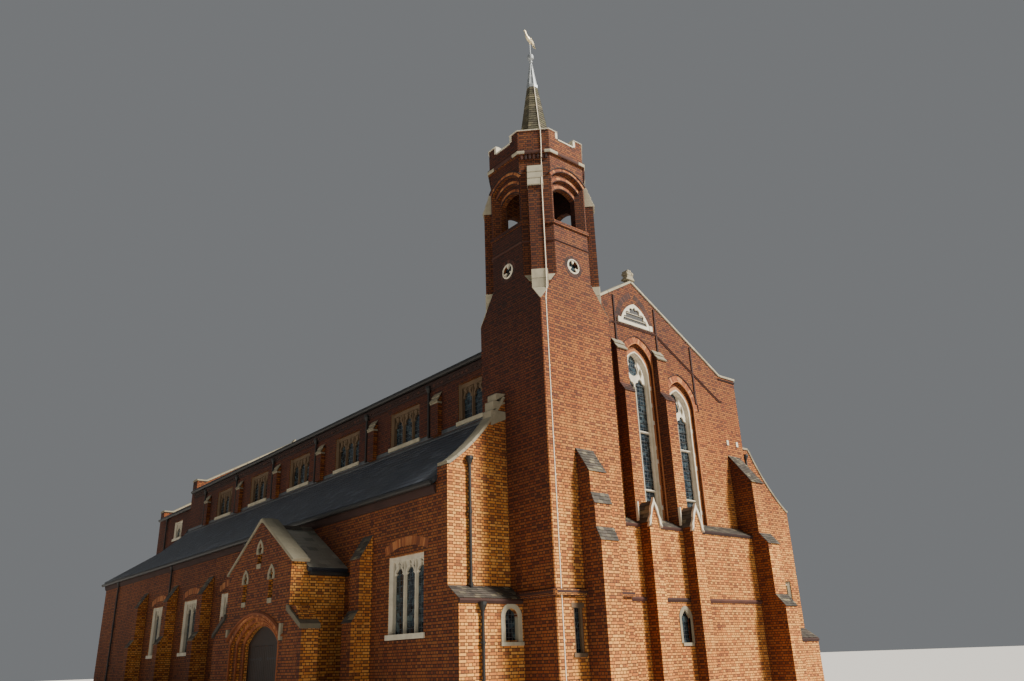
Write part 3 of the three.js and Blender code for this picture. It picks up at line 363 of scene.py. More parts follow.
def sheet_lead(name, colour, patina):
    """Lead: a soft, dull metal shine that pale or sooty patina breaks up in clouds."""
    material, tree, shader, place = start_material(name)
    cloud = noise(tree, place, 6.0, 5.0, 0.6)
    shader.inputs["Metallic"].default_value = 0.55
    body = mix(tree, spread(tree, cloud, 0.35, 0.7), colour, patina)
    coat(tree, shader, body, between(tree, cloud, 0.42, 0.7), cloud, 0.003, 0.4)
    return material


def painted_iron(name, colour, wear):
    """Metal under old gloss paint: a soft gleam, chalky and worn in places."""
    material, tree, shader, place = start_material(name)
    cloud = noise(tree, place, 18.0, 5.0, 0.7)
    body = mix(tree, spread(tree, cloud, 0.55, 0.72), colour, wear)
    coat(tree, shader, body, between(tree, cloud, 0.35, 0.75), cloud, 0.0015, 0.4)
    return material


def leaf_gilding(name):
    """Worn gold leaf bleached pale by the weather: it catches the light, brighter where the leaf is whole."""
    material, tree, shader, place = start_material(name)
    cloud = noise(tree, place, 25.0, 5.0, 0.6)
    shader.inputs["Metallic"].default_value = 0.6
    body = ramp(tree, cloud, [(0.35, "#C9B07A"), (0.6, "#EFE4C6"), (0.85, "#F6F0DF")])
    coat(tree, shader, body, between(tree, cloud, 0.3, 0.55), cloud, 0.002, 0.4)
    return material


def leaded_glass(name):
    """Old drawn glass in small panes, shiny and each pane a little uneven; its near-black colour is painted
    shade of the unlit church behind it.
    """
    material, tree, shader, place = start_material(name)
    cells = add(tree, "TexVoronoi", None, {"Vector": place, "Scale": 8.0, "Randomness": 1.0})
    shade = part_of(tree, cells.outputs["Color"], 0)
    shader.inputs["IOR"].default_value = 1.52
    # Painted shade: the panes are painted near black for the dark interior behind them
    body = ramp(tree, shade, [(0.0, "#10161B"), (0.5, "#1F2A31"), (0.85, "#33424A"), (1.0, "#4B5A5C")])
    coat(tree, shader, body, between(tree, shade, 0.05, 0.18), noise(tree, place, 14.0, 3.0), 0.004, 0.35)
    return material


def boarded_oak(name):
    """Oak oiled nearly black: long grain that runs up the boards, silvered in patches."""
    material, tree, shader, place = start_material(name)
    grain = noise(tree, stretched(tree, place, (22.0, 22.0, 1.2)), 2.0, 6.0, 0.65)
    body = ramp(tree, grain, [(0.3, "#140D09"), (0.55, "#2C1E15"), (0.8, "#4A3526")])
    body = mix(tree, spread(tree, noise(tree, place, 1.3, 4.0), 0.5, 0.8, "#606060"), body, "#5F5A52")
    coat(tree, shader, body, between(tree, grain, 0.45, 0.8), grain, 0.002, 0.5)
    return material


def quarry_floor(name):
    """Fired clay floor tiles 229 mm square: red-brown, one shade per tile, worn to a soft shine in places."""
    material, tree, shader, place = start_material(name)
    inputs = {
        "Vector": place,
        "Color1": (0, 0, 0, 1),
        "Color2": (1, 1, 1, 1),
        "Scale": 1.0,
        "Mortar Size": 0.003,
        "Brick Width": 0.229,
        "Row Height": 0.229,
    }
    tiles = add(tree, "TexBrick", {"offset": 0.0, "squash": 1.0}, inputs)
    joint = tiles.outputs["Fac"]
    body = ramp(tree, tiles.outputs["Color"], [(0.0, "#7A4636"), (0.6, "#8E5742"), (1.0, "#A0694F")])
    wear = between(tree, noise(tree, place, 1.1, 4.0), 0.35, 0.65)
    body = mix(tree, joint, body, "#8A8378")
    coat(tree, shader, body, wear, calculate(tree, "SUBTRACT", 1.0, joint), 0.002, 0.6)
    return material


MATERIALS = {}
# The record's slots and the materials in each; the first one dresses the solids
SLOTS = {
    "brick": ["brick", "arch_brick", "dark_brick"],
    "stone": ["stone", "dull_stone", "brown_stone", "coping"],
    "slate": ["slate", "old_slate"],
    "tile": ["spire_tile", "brown_tile"],
    "lead": ["lead", "came", "tape", "iron"],
    "gilt": ["gilt"],
    "glass": ["glass"],
    "oak": ["oak"],
    "floor": ["floor"],
}


# Mesh tools, all in church metres
rng = random.Random(7)


def start():
    """An empty mesh whose corners can carry a shade."""
    bm = bmesh.new()
    bm.verts.layers.float.new("tint")
    return bm


def starts(count):
    """Several empty meshes."""
    return [start() for _ in range(count)]


def shade(bm, corners, value=None):
    """Gives the corners of one brick, stone or slate its own shade."""
    layer = bm.verts.layers.float["tint"]
    value = rng.random() if value is None else value
    for corner in corners:
        corner[layer] = value
    return corners


def shaped(bm, place, value=None):
    """A box whose corners go where place(right, back, top) says."""
    corners = bmesh.ops.create_cube(bm, size=2.0)["verts"]
    for corner in corners:
        corner.co = place(*(value > 0 for value in corner.co))
    return shade(bm, corners, value)


def around(middle, half):
    """The two values that lie half to each side of the middle."""
    return middle - half, middle + half


def block(bm, x, y, z, value=None):
    """A box between two values on each axis."""
    middle = Vector([(low + high) / 2 for low, high in (x, y, z)])
    size = [abs(high - low) for low, high in (x, y, z)]
    matrix = Matrix.Translation(middle) @ Matrix.Diagonal((*size, 1.0))
    return shade(bm, bmesh.ops.create_cube(bm, size=1.0, matrix=matrix)["verts"], value)


def prism(bm, outline, first, last, plane="xz", value=None):
    """A flat outline extruded from first to last across its plane."""
    order = {"xz": (0, 2, 1), "yz": (1, 2, 0), "xy": (0, 1, 2)}[plane]

    def point(u, v):
        place = [0.0, 0.0, 0.0]
        place[order[0]], place[order[1]], place[order[2]] = u, v, first
        return place

    depth = [0.0, 0.0, 0.0]
    depth[order[2]] = last - first
    corners = [bm.verts.new(point(u, v)) for u, v in outline]
    face = bmesh.ops.contextual_create(bm, geom=corners)["faces"]
    extruded = bmesh.ops.extrude_face_region(bm, geom=face)["geom"]
    moved = [item for item in extruded if isinstance(item, bmesh.types.BMVert)]
    bmesh.ops.translate(bm, vec=depth, verts=moved)
    return shade(bm, corners + moved, value)


def hull(bm, points, value=None):
    """The convex body around points."""
    corners = [bm.verts.new(point) for point in points]
    made = bmesh.ops.convex_hull(bm, input=corners)
    inside = {item for item in made["geom_interior"] if isinstance(item, bmesh.types.BMVert)}
    shade(bm, [corner for corner in corners if corner not in inside], value)
    bmesh.ops.delete(bm, geom=list(inside), context="VERTS")


def slab(bm, y, outline, value=None):
    """The convex body of an outline in the x and z plane between two depths."""
    hull(bm, [(x, depth, z) for depth in y for x, z in outline], value)


def rod(bm, first, last, radius, segments=10, end_radius=None, value=None):
    """A round bar between two points."""
    first, last = Vector(first), Vector(last)
    line = last - first
    matrix = Matrix.Translation((first + last) / 2) @ line.to_track_quat("Z", "Y").to_matrix().to_4x4()
    corners = bmesh.ops.create_cone(
        bm,
        cap_ends=True,
        segments=segments,
        radius1=radius,
        radius2=radius if end_radius is None else end_radius,
        depth=line.length,
        matrix=matrix,
    )["verts"]
    return shade(bm, corners, value)


def moulding(bm, path, profile, up=(0, 0, 1), closed=False, value=None):
    """A profile of (out, up) pairs drawn along a path and mitred at its corners; out is to the right."""
    up = Vector(up).normalized()
    points = [Vector(point) for point in path]
    last = len(points) - 1
    rings = []
    for i, point in enumerate(points):
        before = point - points[i - 1] if closed or i > 0 else points[1] - point
        after = points[(i + 1) % len(points)] - point if closed or i < last else before
        first, second = before.normalized().cross(up), after.normalized().cross(up)
        side = (first + second) / (1 + first.dot(second))
        rings.append([bm.verts.new(point + side * out + up * high) for out, high in profile])
    shade(bm, [corner for ring in rings for corner in ring], value)
    loops = [[bm.edges.new((a, b)) for a, b in zip(ring, ring[1:] + ring[:1])] for ring in rings]
    pairs = list(zip(loops, loops[1:]))
    if closed:
        pairs.append((loops[-1], loops[0]))
    for first, second in pairs:
        bmesh.ops.bridge_loops(bm, edges=first + second)
    if not closed:
        for ring in (rings[0], rings[-1]):
            bmesh.ops.contextual_create(bm, geom=ring)


def band(bm, x, y, z, profile):
    """A level moulding across a wall that faces west."""
    moulding(bm, [(x[1], y, z), (x[0], y, z)], profile, up=WEST_UP)


def side_run(sign, x, first, last, z=0.0):
    """A level line along a side wall, in the order that turns a profile's out away from the wall."""
    return [(sign * x, first, z), (sign * x, last, z)][::sign]


def stones(bm, first, last, profile, up, length, gap=0.006):
    """A straight run cut into stones of about one length, with open joints."""
    first, last = Vector(first), Vector(last)
    count = max(1, round((last - first).length / length))
    share = gap / 2 / (last - first).length
    run = start()
    for i in range(count):
        low, high = i / count + share, (i + 1) / count - share
        moulding(run, [first.lerp(last, low), first.lerp(last, high)], profile, up)
    stamp(bm, run)


def arc(bm, profile, centre, radius, start_angle, end_angle, steps, value=None):
    """A moulding bent round an arc in the x and z plane; the profile is (out, y) from the arc."""
    x, z = centre
    full = abs(end_angle - start_angle) > 2 * math.pi - 0.001
    cos, sin = math.cos(start_angle), math.sin(start_angle)
    corners = [bm.verts.new((x + (radius + out) * cos, y, z + (radius + out) * sin)) for out, y in profile]
    shade(bm, corners, value)
    edges = [bm.edges.new((a, b)) for a, b in zip(corners, corners[1:] + corners[:1])]
    faces = [] if full else bmesh.ops.contextual_create(bm, geom=corners)["faces"]
    bmesh.ops.spin(
        bm,
        geom=corners + edges + list(faces),
        cent=(x, 0.0, z),
        axis=(0.0, -1.0, 0.0),
        angle=end_angle - start_angle,
        steps=steps,
        use_merge=full,
        use_duplicate=False,
    )


def pointed(half, rise):
    """Radius of a pointed arch's two arcs."""
    return (half * half + rise * rise) / (2 * half)


def segment(half, rise, spring):
    """A shallow arch: its radius, the point it turns about and its two end angles."""
    radius = (half * half + rise * rise) / (2 * rise)
    sweep = math.asin(half / radius)
    return radius, (0.0, spring + rise - radius), (math.pi / 2 - sweep, math.pi / 2 + sweep)


def pointed_moulding(bm, profile, middle, half, spring, rise, foot=None, value=None):
    """A moulding round a pointed arch, mitred over the middle, with straight jambs down to foot."""
    radius = pointed(half, rise)
    reach = max(out for out, _ in profile)
    end = math.acos(max(-1.0, (radius - half) / (radius + reach)))
    value = rng.random() if value is None else value
    part = start()
    arc(part, profile, (half - radius, spring), radius, 0.0, end, 9, value)
    bmesh.ops.bisect_plane(
        part,
        geom=part.verts[:] + part.edges[:] + part.faces[:],
        plane_co=(0, 0, 0),
        plane_no=(1, 0, 0),
        clear_inner=True,
    )
    if foot is not None:
        prism(part, [(half + out, y) for out, y in profile], foot, spring, "xy", value)
    bmesh.ops.mirror(part, geom=part.verts[:] + part.edges[:] + part.faces[:], axis="X", merge_dist=0.0005)
    stamp(bm, part, [Matrix.Translation((middle, 0, 0))])


def stamp(bm, part, places=None):
    """Copies a part into a mesh, as it is or at each place, and frees the part."""
    mesh = bpy.data.meshes.new("stamp")
    part.to_mesh(mesh)
    part.free()
    for matrix in places or [Matrix.Identity(4)]:
        copy = mesh.copy()
        copy.transform(matrix)
        bm.from_mesh(copy)
        bpy.data.meshes.remove(copy)
    bpy.data.meshes.remove(mesh)


def facing(side, x=0.0, y=0.0, z=0.0):
    """Turns a part drawn for a west wall to another side and sets its origin."""
    return Matrix.Translation((x, y, z)) @ Matrix.Rotation(math.radians(side), 4, "Z")


def on_tower(turns=QUARTERS):
    """Places round the tower's axis for a part drawn about its own axis."""
    return [facing(turn, TOWER_X, TOWER_Y) for turn in turns]


def round_tower(inner):
    """Corners of the tower's plan, two at each corner of its square; inner is their place along the sides."""
    pair = (Vector((TOWER_HALF, inner, 0.0)), Vector((inner, TOWER_HALF, 0.0)))
    return [place @ corner for place in on_tower() for corner in pair]


def brick_ring(bm, centre, radius, start_angle, end_angle, thick, depth, joint=0.008):
    """Arch bricks on edge round an arc, each tapered to the centre."""
    count = max(1, round(abs(end_angle - start_angle) * radius / ARCH_BRICK))
    step = (end_angle - start_angle) / count
    ring = start()
    for i in range(count):
        low, high = start_angle + i * step, start_angle + (i + 1) * step

        def place(right, back, top):
            inward = (-1 if right else 1) * math.copysign(1, step)
            angle = (high if right else low) + inward * joint / 2 / radius
            reach = radius + (thick if top else 0.0)
            return Vector((
                centre[0] + reach * math.cos(angle),
                depth[1] if back else depth[0],
                centre[1] + reach * math.sin(angle),
            ))

        shaped(ring, place)
    stamp(bm, ring, [Matrix.Identity(4)])


def pointed_bricks(bm, middle, half, spring, rise, thick, depth):
    """Two runs of arch bricks that meet over the middle."""
    radius = pointed(half, rise)
    end = math.acos(max(-1.0, (radius - half) / (radius + thick / 2)))
    brick_ring(bm, (middle + half - radius, spring), radius, 0.0, end, thick, depth)
    brick_ring(bm, (middle - half + radius, spring), radius, math.pi, math.pi - end, thick, depth)


def lay(bm, corners, gauge, width, thick, gap=0.004):
    """Lapped tiles or slates over a slope; corners run foot left, foot right, top right, top left."""
    low_left, low_right, high_right, high_left = [Vector(corner) for corner in corners]
    normal = (low_right - low_left).cross(high_left - low_left).normalized()
    rise = ((high_left + high_right) / 2 - (low_left + low_right) / 2).length
    rows = max(1, round(rise / gauge))
    for row in range(rows):
        course = start()
        edges = [(low_left.lerp(high_left, t / rows),
                  low_right.lerp(high_right, t / rows)) for t in (row, row + 1)]
        span = (edges[0][1] - edges[0][0]).length
        count = max(1, round(span / width))
        # Every second course is shifted by half a width
        shift = 0.5 * (row % 2)
        cuts = [0.0] + [(i + shift) / count for i in range(1 - row % 2, count)] + [1.0]
        for low, high in zip(cuts, cuts[1:]):
            lifted = thick * rng.uniform(0.85, 1.15)

            def place(right, back, top):
                left_end, right_end = edges[1 if back else 0]
                share = high - gap / 2 / span if right else low + gap / 2 / span
                above = (thick * 0.15 if back else lifted) if top else -0.002
                return left_end.lerp(right_end, share) + normal * above

            shaped(course, place)
        stamp(bm, course)


def sloped(bm, x, low, high, gauge, width, thick):
    """Courses over a slope that faces west; low and high are its foot and its top as (y, z)."""
    lay(bm, [(x[0], *low), (x[1], *low), (x[1], *high), (x[0], *high)], gauge, width, thick)


def tiled(bm, sizes, x, low, high, thick=TILE_THICK):
    """Plain tiles over a slope that faces west."""
    sloped(bm, x, low, high, sizes.tile_gauge, sizes.tile_width, thick)


def roof_side(bm, sign, y, low, high, gauge, width, thick):
    """Courses over a slope that faces sideways; low and high are its foot and its top as (x, z)."""
    left, right = y[::sign]
    (foot_x, foot_z), (top_x, top_z) = low, high
    corners = [(foot_x, left, foot_z), (foot_x, right, foot_z), (top_x, right, top_z), (top_x, left, top_z)]
    lay(bm, corners, gauge, width, thick)


def piece(name, bm, material, body=BUILDING, bevel=0.0, smooth=False):
    """Makes the mesh an object with its material that rides on a body, in the model's own frame."""
    if not bm.verts:
        raise RuntimeError(f"{name} has no mesh")
    bmesh.ops.recalc_face_normals(bm, faces=bm.faces)
    bmesh.ops.translate(bm, vec=ORIGIN, verts=bm.verts)
    mesh = bpy.data.meshes.new(name)
    bm.to_mesh(mesh)
    bm.free()
    mesh.materials.append(MATERIALS[material])
    if smooth:
        mesh.shade_smooth()
    item = bpy.data.objects.new(name, mesh)
    bpy.context.scene.collection.objects.link(item)
    if bevel:
        modifier = item.modifiers.new("Worn edges", "BEVEL")
        modifier.width = bevel
        modifier.segments = 1
        modifier.limit_method = "ANGLE"
        modifier.angle_limit = math.radians(40)
    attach(item, body)
    return item


# Parts that several sides share
def foils(middle, corners, steps=5):
    """A closed outline, alike left and right; corners run up the right as (out, height, bulge)."""
    half = []
    for (u, v, bulge), (end_u, end_v, _) in zip(corners, corners[1:]):
        along = Vector((end_u - u, end_v - v))
        out = Vector((along.y, -along.x)).normalized() * bulge * 4
        shares = [i / steps for i in range(steps if bulge else 1)]
        half += [Vector((u, v)) + along * t + out * t * (1 - t) for t in shares]
    half.append(Vector(corners[-1][:2]))
    left = [point for point in reversed(half) if point.x > 0.0001]
    return [(middle + point.x, point.y) for point in half] + [(middle - point.x, point.y) for point in left]


def pierced(bm, outlines, first, last, value=None):
    """A plate in the x and z plane with holes: the first outline is its edge, the others are holes."""
    edges = []
    for outline in outlines:
        corners = shade(bm, [bm.verts.new((u, first, v)) for u, v in outline], value)
        edges += [bm.edges.new(pair) for pair in zip(corners, corners[1:] + corners[:1])]
    filled = bmesh.ops.triangle_fill(bm, use_beauty=True, edges=edges)["geom"]
    faces = [item for item in filled if isinstance(item, bmesh.types.BMFace)]
    extruded = bmesh.ops.extrude_face_region(bm, geom=faces)["geom"]
    moved = [item for item in extruded if isinstance(item, bmesh.types.BMVert)]
    bmesh.ops.translate(bm, vec=(0.0, last - first, 0.0), verts=moved)
    shade(bm, moved, value)


def arch_outline(half, spring, rise):
    """Half of a pointed arch, from its springing to its top."""
    radius = pointed(half, rise)
    sweep = math.asin(min(1.0, rise / radius))
    angles = [sweep * i / 7 for i in range(8)]
    return [(half - radius + radius * math.cos(a), spring + radius * math.sin(a)) for a in angles]


def light_head(bm, middle, half, spring, rise, top, depth):
    """The stone plate over one light, cut to a pointed arch."""
    curve = arch_outline(half, spring, rise)
    for side in (-1, 1):
        outline = [(middle + side * u, v) for u, v in curve + [(0.0, top), (half, top)]]
        prism(bm, outline, *depth, "xz", 0.5)


def cusps(bm, middle, half, spring, rise, depth, length, width):
    """Pointed stone tongues that stand in from the arch of a light, two on each side."""
    radius = pointed(half, rise)
    sweep = math.asin(min(1.0, rise / radius))
    wide = width / 2 / radius
    inner = -length * 0.55
    tongue = ((-wide, 0.02), (wide, 0.02), (-wide * 0.55, inner), (wide * 0.55, inner), (0.0, -length))
    for side in (-1, 1):
        for level in (0.12, 0.72):
            points = []
            for turn, reach in tongue:
                angle = sweep * level + turn
                u = middle + side * (half - radius + (radius + reach) * math.cos(angle))
                v = spring + (radius + reach) * math.sin(angle)
                points += [(u, depth[0], v), (u, depth[1], v)]
            hull(bm, points, 0.8)


def leading(bm, x, z, y, columns, rows):
    """A lattice of lead cames, 9 mm wide, over one light."""
    part = start()
    thick = (y - 0.005, y + 0.003)
    for i in range(1, columns):
        block(part, around(x[0] + (x[1] - x[0]) * i / columns, 0.0045), thick, z)
    for i in range(1, rows):
        block(part, x, thick, around(z[0] + (z[1] - z[0]) * i / rows, 0.0045))
    stamp(bm, part)


def glaze(glass, lead, place, x, z, y, columns, rows, lead_x=None, lead_z=None):
    """A pane and the lattice of cames just in front of it."""
    pane, cames = starts(2)
    block(pane, x, (y, y + PANE), z)
    leading(cames, lead_x or x, lead_z or z, y - 0.002, columns, rows)
    stamp(glass, pane, [place])
    stamp(lead, cames, [place])


def square_window(stone, sills, glass, lead, half, foot, top, lights, place):
    """A flat-headed stone window of several cusped lights, set back in a wall."""
    frame_part, sill, panes, cames = starts(4)
    bar, depth, head = 0.08, (0.1, 0.26), top - 0.12
    block(sill, around(0.0, half + 0.06), (-0.05, 0.26), (foot - 0.11, foot + 0.02), 0.9)
    block(frame_part, (-half, half), depth, (top - 0.13, top), 0.6)
    for side in (-1, 1):
        inner = side * (half - bar)
        block(frame_part, sorted((side * half, inner)), depth, (foot, head), 0.6)
        splay = [(side * half, 0.02), (side * half, depth[0]), (inner, depth[0])]
        prism(frame_part, splay, foot + 0.02, top, "xy", 0.75)
    wide = (2 * half - bar * (lights + 1)) / lights
    mullion = ((-1.0, 0.26), (-1.0, 0.2), (-0.7, 0.12), (-0.3, 0.12), (0.0, 0.2), (0.0, 0.26))
    for i in range(lights):
        low = -half + bar + i * (wide + bar)
        middle = low + wide / 2
        if i:
            prism(frame_part, [(low + bar * u, y) for u, y in mullion], foot, head, "xy", 0.6)
        spring, rise = top - 0.13 - wide * 0.75, wide * 0.62
        light_head(frame_part, middle, wide / 2, spring, rise, head, (0.14, 0.24))
        cusps(frame_part, middle, wide / 2, spring, rise, (0.15, 0.23), wide * 0.22, wide * 0.3)
        block(panes, (low, low + wide), (0.205, 0.205 + PANE), (foot, head))
        rows = max(2, round((top - foot) / 0.16))
        leading(cames, (low, low + wide), (foot, top - 0.15), 0.203, 3, rows)
    for mesh, part in ((stone, frame_part), (sills, sill), (glass, panes), (lead, cames)):
        stamp(mesh, part, [place])


def downpipe(bm, x, y, top, foot=0.12, out=(0.0, -1.0)):
    """A round pipe with collars, standing off the wall, under a hopper head."""

    def at(z, off=0.075, aside=0.0):
        return Vector((x + out[0] * off + out[1] * aside, y + out[1] * off - out[0] * aside, z))

    rod(bm, at(foot), at(top), 0.042)
    level = foot + 0.05
    while level < top - 0.3:
        rod(bm, at(level), at(level + 0.09), 0.056)
        ear = level + 0.045
        for aside in (0.07, -0.07):
            rod(bm, at(ear, aside=aside), at(ear, 0.0, aside), 0.012, 6)
        rod(bm, at(ear, aside=-0.08), at(ear, aside=0.08), 0.014, 6)
        level += 1.8
    rod(bm, at(top - 0.02), at(top + 0.12), 0.045, 12, 0.1)
    rod(bm, at(top + 0.12), at(top + 0.2), 0.105, 12)


def length_property(name, description, default):
    """A property for a length."""
    return bpy.props.FloatProperty(name=name, description=description, default=default, unit="LENGTH")


def strength_property(name, description, default):
    """A property for the strength of a light."""
    return bpy.props.FloatProperty(name=name, description=description, default=default, min=0.0)


class ChurchSizes(bpy.types.PropertyGroup):
    """Sizes that repeat all over the building, and the strength of the light."""

    course: length_property("Course", "Height of one brick and its joint", 0.075)
    brick_length: length_property("Brick", "Length of one brick and its joint", 0.225)
    joint: length_property("Joint", "Thickness of a mortar joint, wider than real so that it shows", 0.019)
    slate_width: length_property("Slate", "Width of one roof slate", 0.3)
    slate_gauge: length_property("Slate gauge", "Visible height of one course of slates", 0.23)
    tile_width: length_property("Tile", "Width of one plain tile", 0.165)
    tile_gauge: length_property("Tile gauge", "Visible height of one course of plain tiles", 0.1)
    coping_length: length_property("Coping stone", "Length of one coping stone", 0.75)
    sun_strength: strength_property("Key light", "Strength of the soft key light", 8.0)
    sky_strength: strength_property("Fill light", "Strength of the light from all round", 0.21)


def colour(name, description, default):
    """A colour property whose default is a hex value."""
    return bpy.props.FloatVectorProperty(
        name=name, description=description, default=linear(default), size=4, subtype="COLOR", min=0.0, max=1.0
    )


class ChurchColours(bpy.types.PropertyGroup):
    """The main colours."""

    brick_deep: colour("Deep brick", "The reddest facing bricks", "#C0722F")
    brick_middle: colour("Middle brick", "Most of the facing bricks", "#E39640")
    brick_pale: colour("Pale brick", "The palest facing bricks", "#EFAF57")
    brick_burnt: colour("Burnt brick", "Headers burnt dark in the kiln", "#6A3A22")
    # The mortar colour is partly the mortar's own dark brown and partly painted shade of the recessed joints
    mortar: colour("Mortar", "Weathered lime mortar, dark with soot", "#3A2519")
    stone: colour("Stone", "Clean limestone", "#DDD4BF")
    stone_grime: colour("Stone grime", "Soot and lichen on limestone", "#8A8370")
    slate: colour("Slate", "Most of the slates", "#343A44")
    tile: colour("Tile", "Weathered clay tiles of the spire", "#575040")
    lead: colour("Lead", "Weathered lead", "#8B9196")
    floor: colour("Studio floor", "The pale ground under the building", "#D9D6D0")


class CHURCH_OT_materials(bpy.types.Operator):
    """Make the materials and dress the solid walls, roofs and frames"""

    bl_idname = "church.materials"
    bl_label = "Materials"

    def execute(self, context):
        sizes, colours = context.scene.church_sizes, context.scene.church_colours
        cut = [(0.0, "#6B3A24"), (0.4, "#A05A30"), (1.0, "#CC8A52")]
        # Painted shade: the moulded brick is painted darker than its own brown, so that strings and hoods
        # carry the dark shadow line under them
        moulded = [(0.0, "#2E1C18"), (0.5, "#45281F"), (1.0, "#5C3629")]
        MATERIALS.update({
            "brick": brick_material("facing_brick_english_bond", colours, sizes),
            "arch_brick": rubbed_brick("gauged_rubbing_brick", cut),
            "dark_brick": rubbed_brick("moulded_brick_darkened_for_shadow", moulded),
            "stone": limestone("weathered_limestone", colours.stone, colours.stone_grime, 1.0),
            "dull_stone": limestone("sooted_limestone", "#A79C84", "#5C5746", 1.5),
            "brown_stone": limestone("brown_sandstone", "#7A6248", "#3F3428", 1.5),
            "coping": limestone("lichened_coping_stone", "#BDB49C", "#6C6654", 1.2),
            "slate": riven_slate("split_roofing_slate", "#2B3038", colours.slate, "#4A505A"),
            "old_slate": riven_slate("lichened_roofing_slate", "#66645A", "#858174", "#9A9686"),
            "spire_tile": clay_tile("mossy_plain_tile", "#3F3B30", colours.tile, "#6B6B48"),
            "brown_tile": clay_tile("brown_plain_tile", "#35302B", "#544C44", "#4C4A3C"),
            "lead": sheet_lead("milled_sheet_lead", colours.lead, "#B4B8B8"),
            "came": sheet_lead("sooted_lead_came", "#4C5156", "#6A6E6E"),
            "tape": painted_iron("painted_copper_tape", "#E6DAC2", "#B9AC94"),
            "iron": painted_iron("painted_cast_iron", "#1E1D1C", "#3B322B"),
            "gilt": leaf_gilding("worn_gold_leaf"),
            "glass": leaded_glass("leaded_drawn_glass"),
            "oak": boarded_oak("fumed_oak_boards"),
            "floor": quarry_floor("fired_clay_floor_tile"),
        })
        for entry in frame["record"]["subparts"]:
            node = frame["nodes"][entry["node"]]
            node.data.materials.clear()
            node.data.materials.append(MATERIALS[SLOTS[entry["material_slot"]][0]])
        return {"FINISHED"}


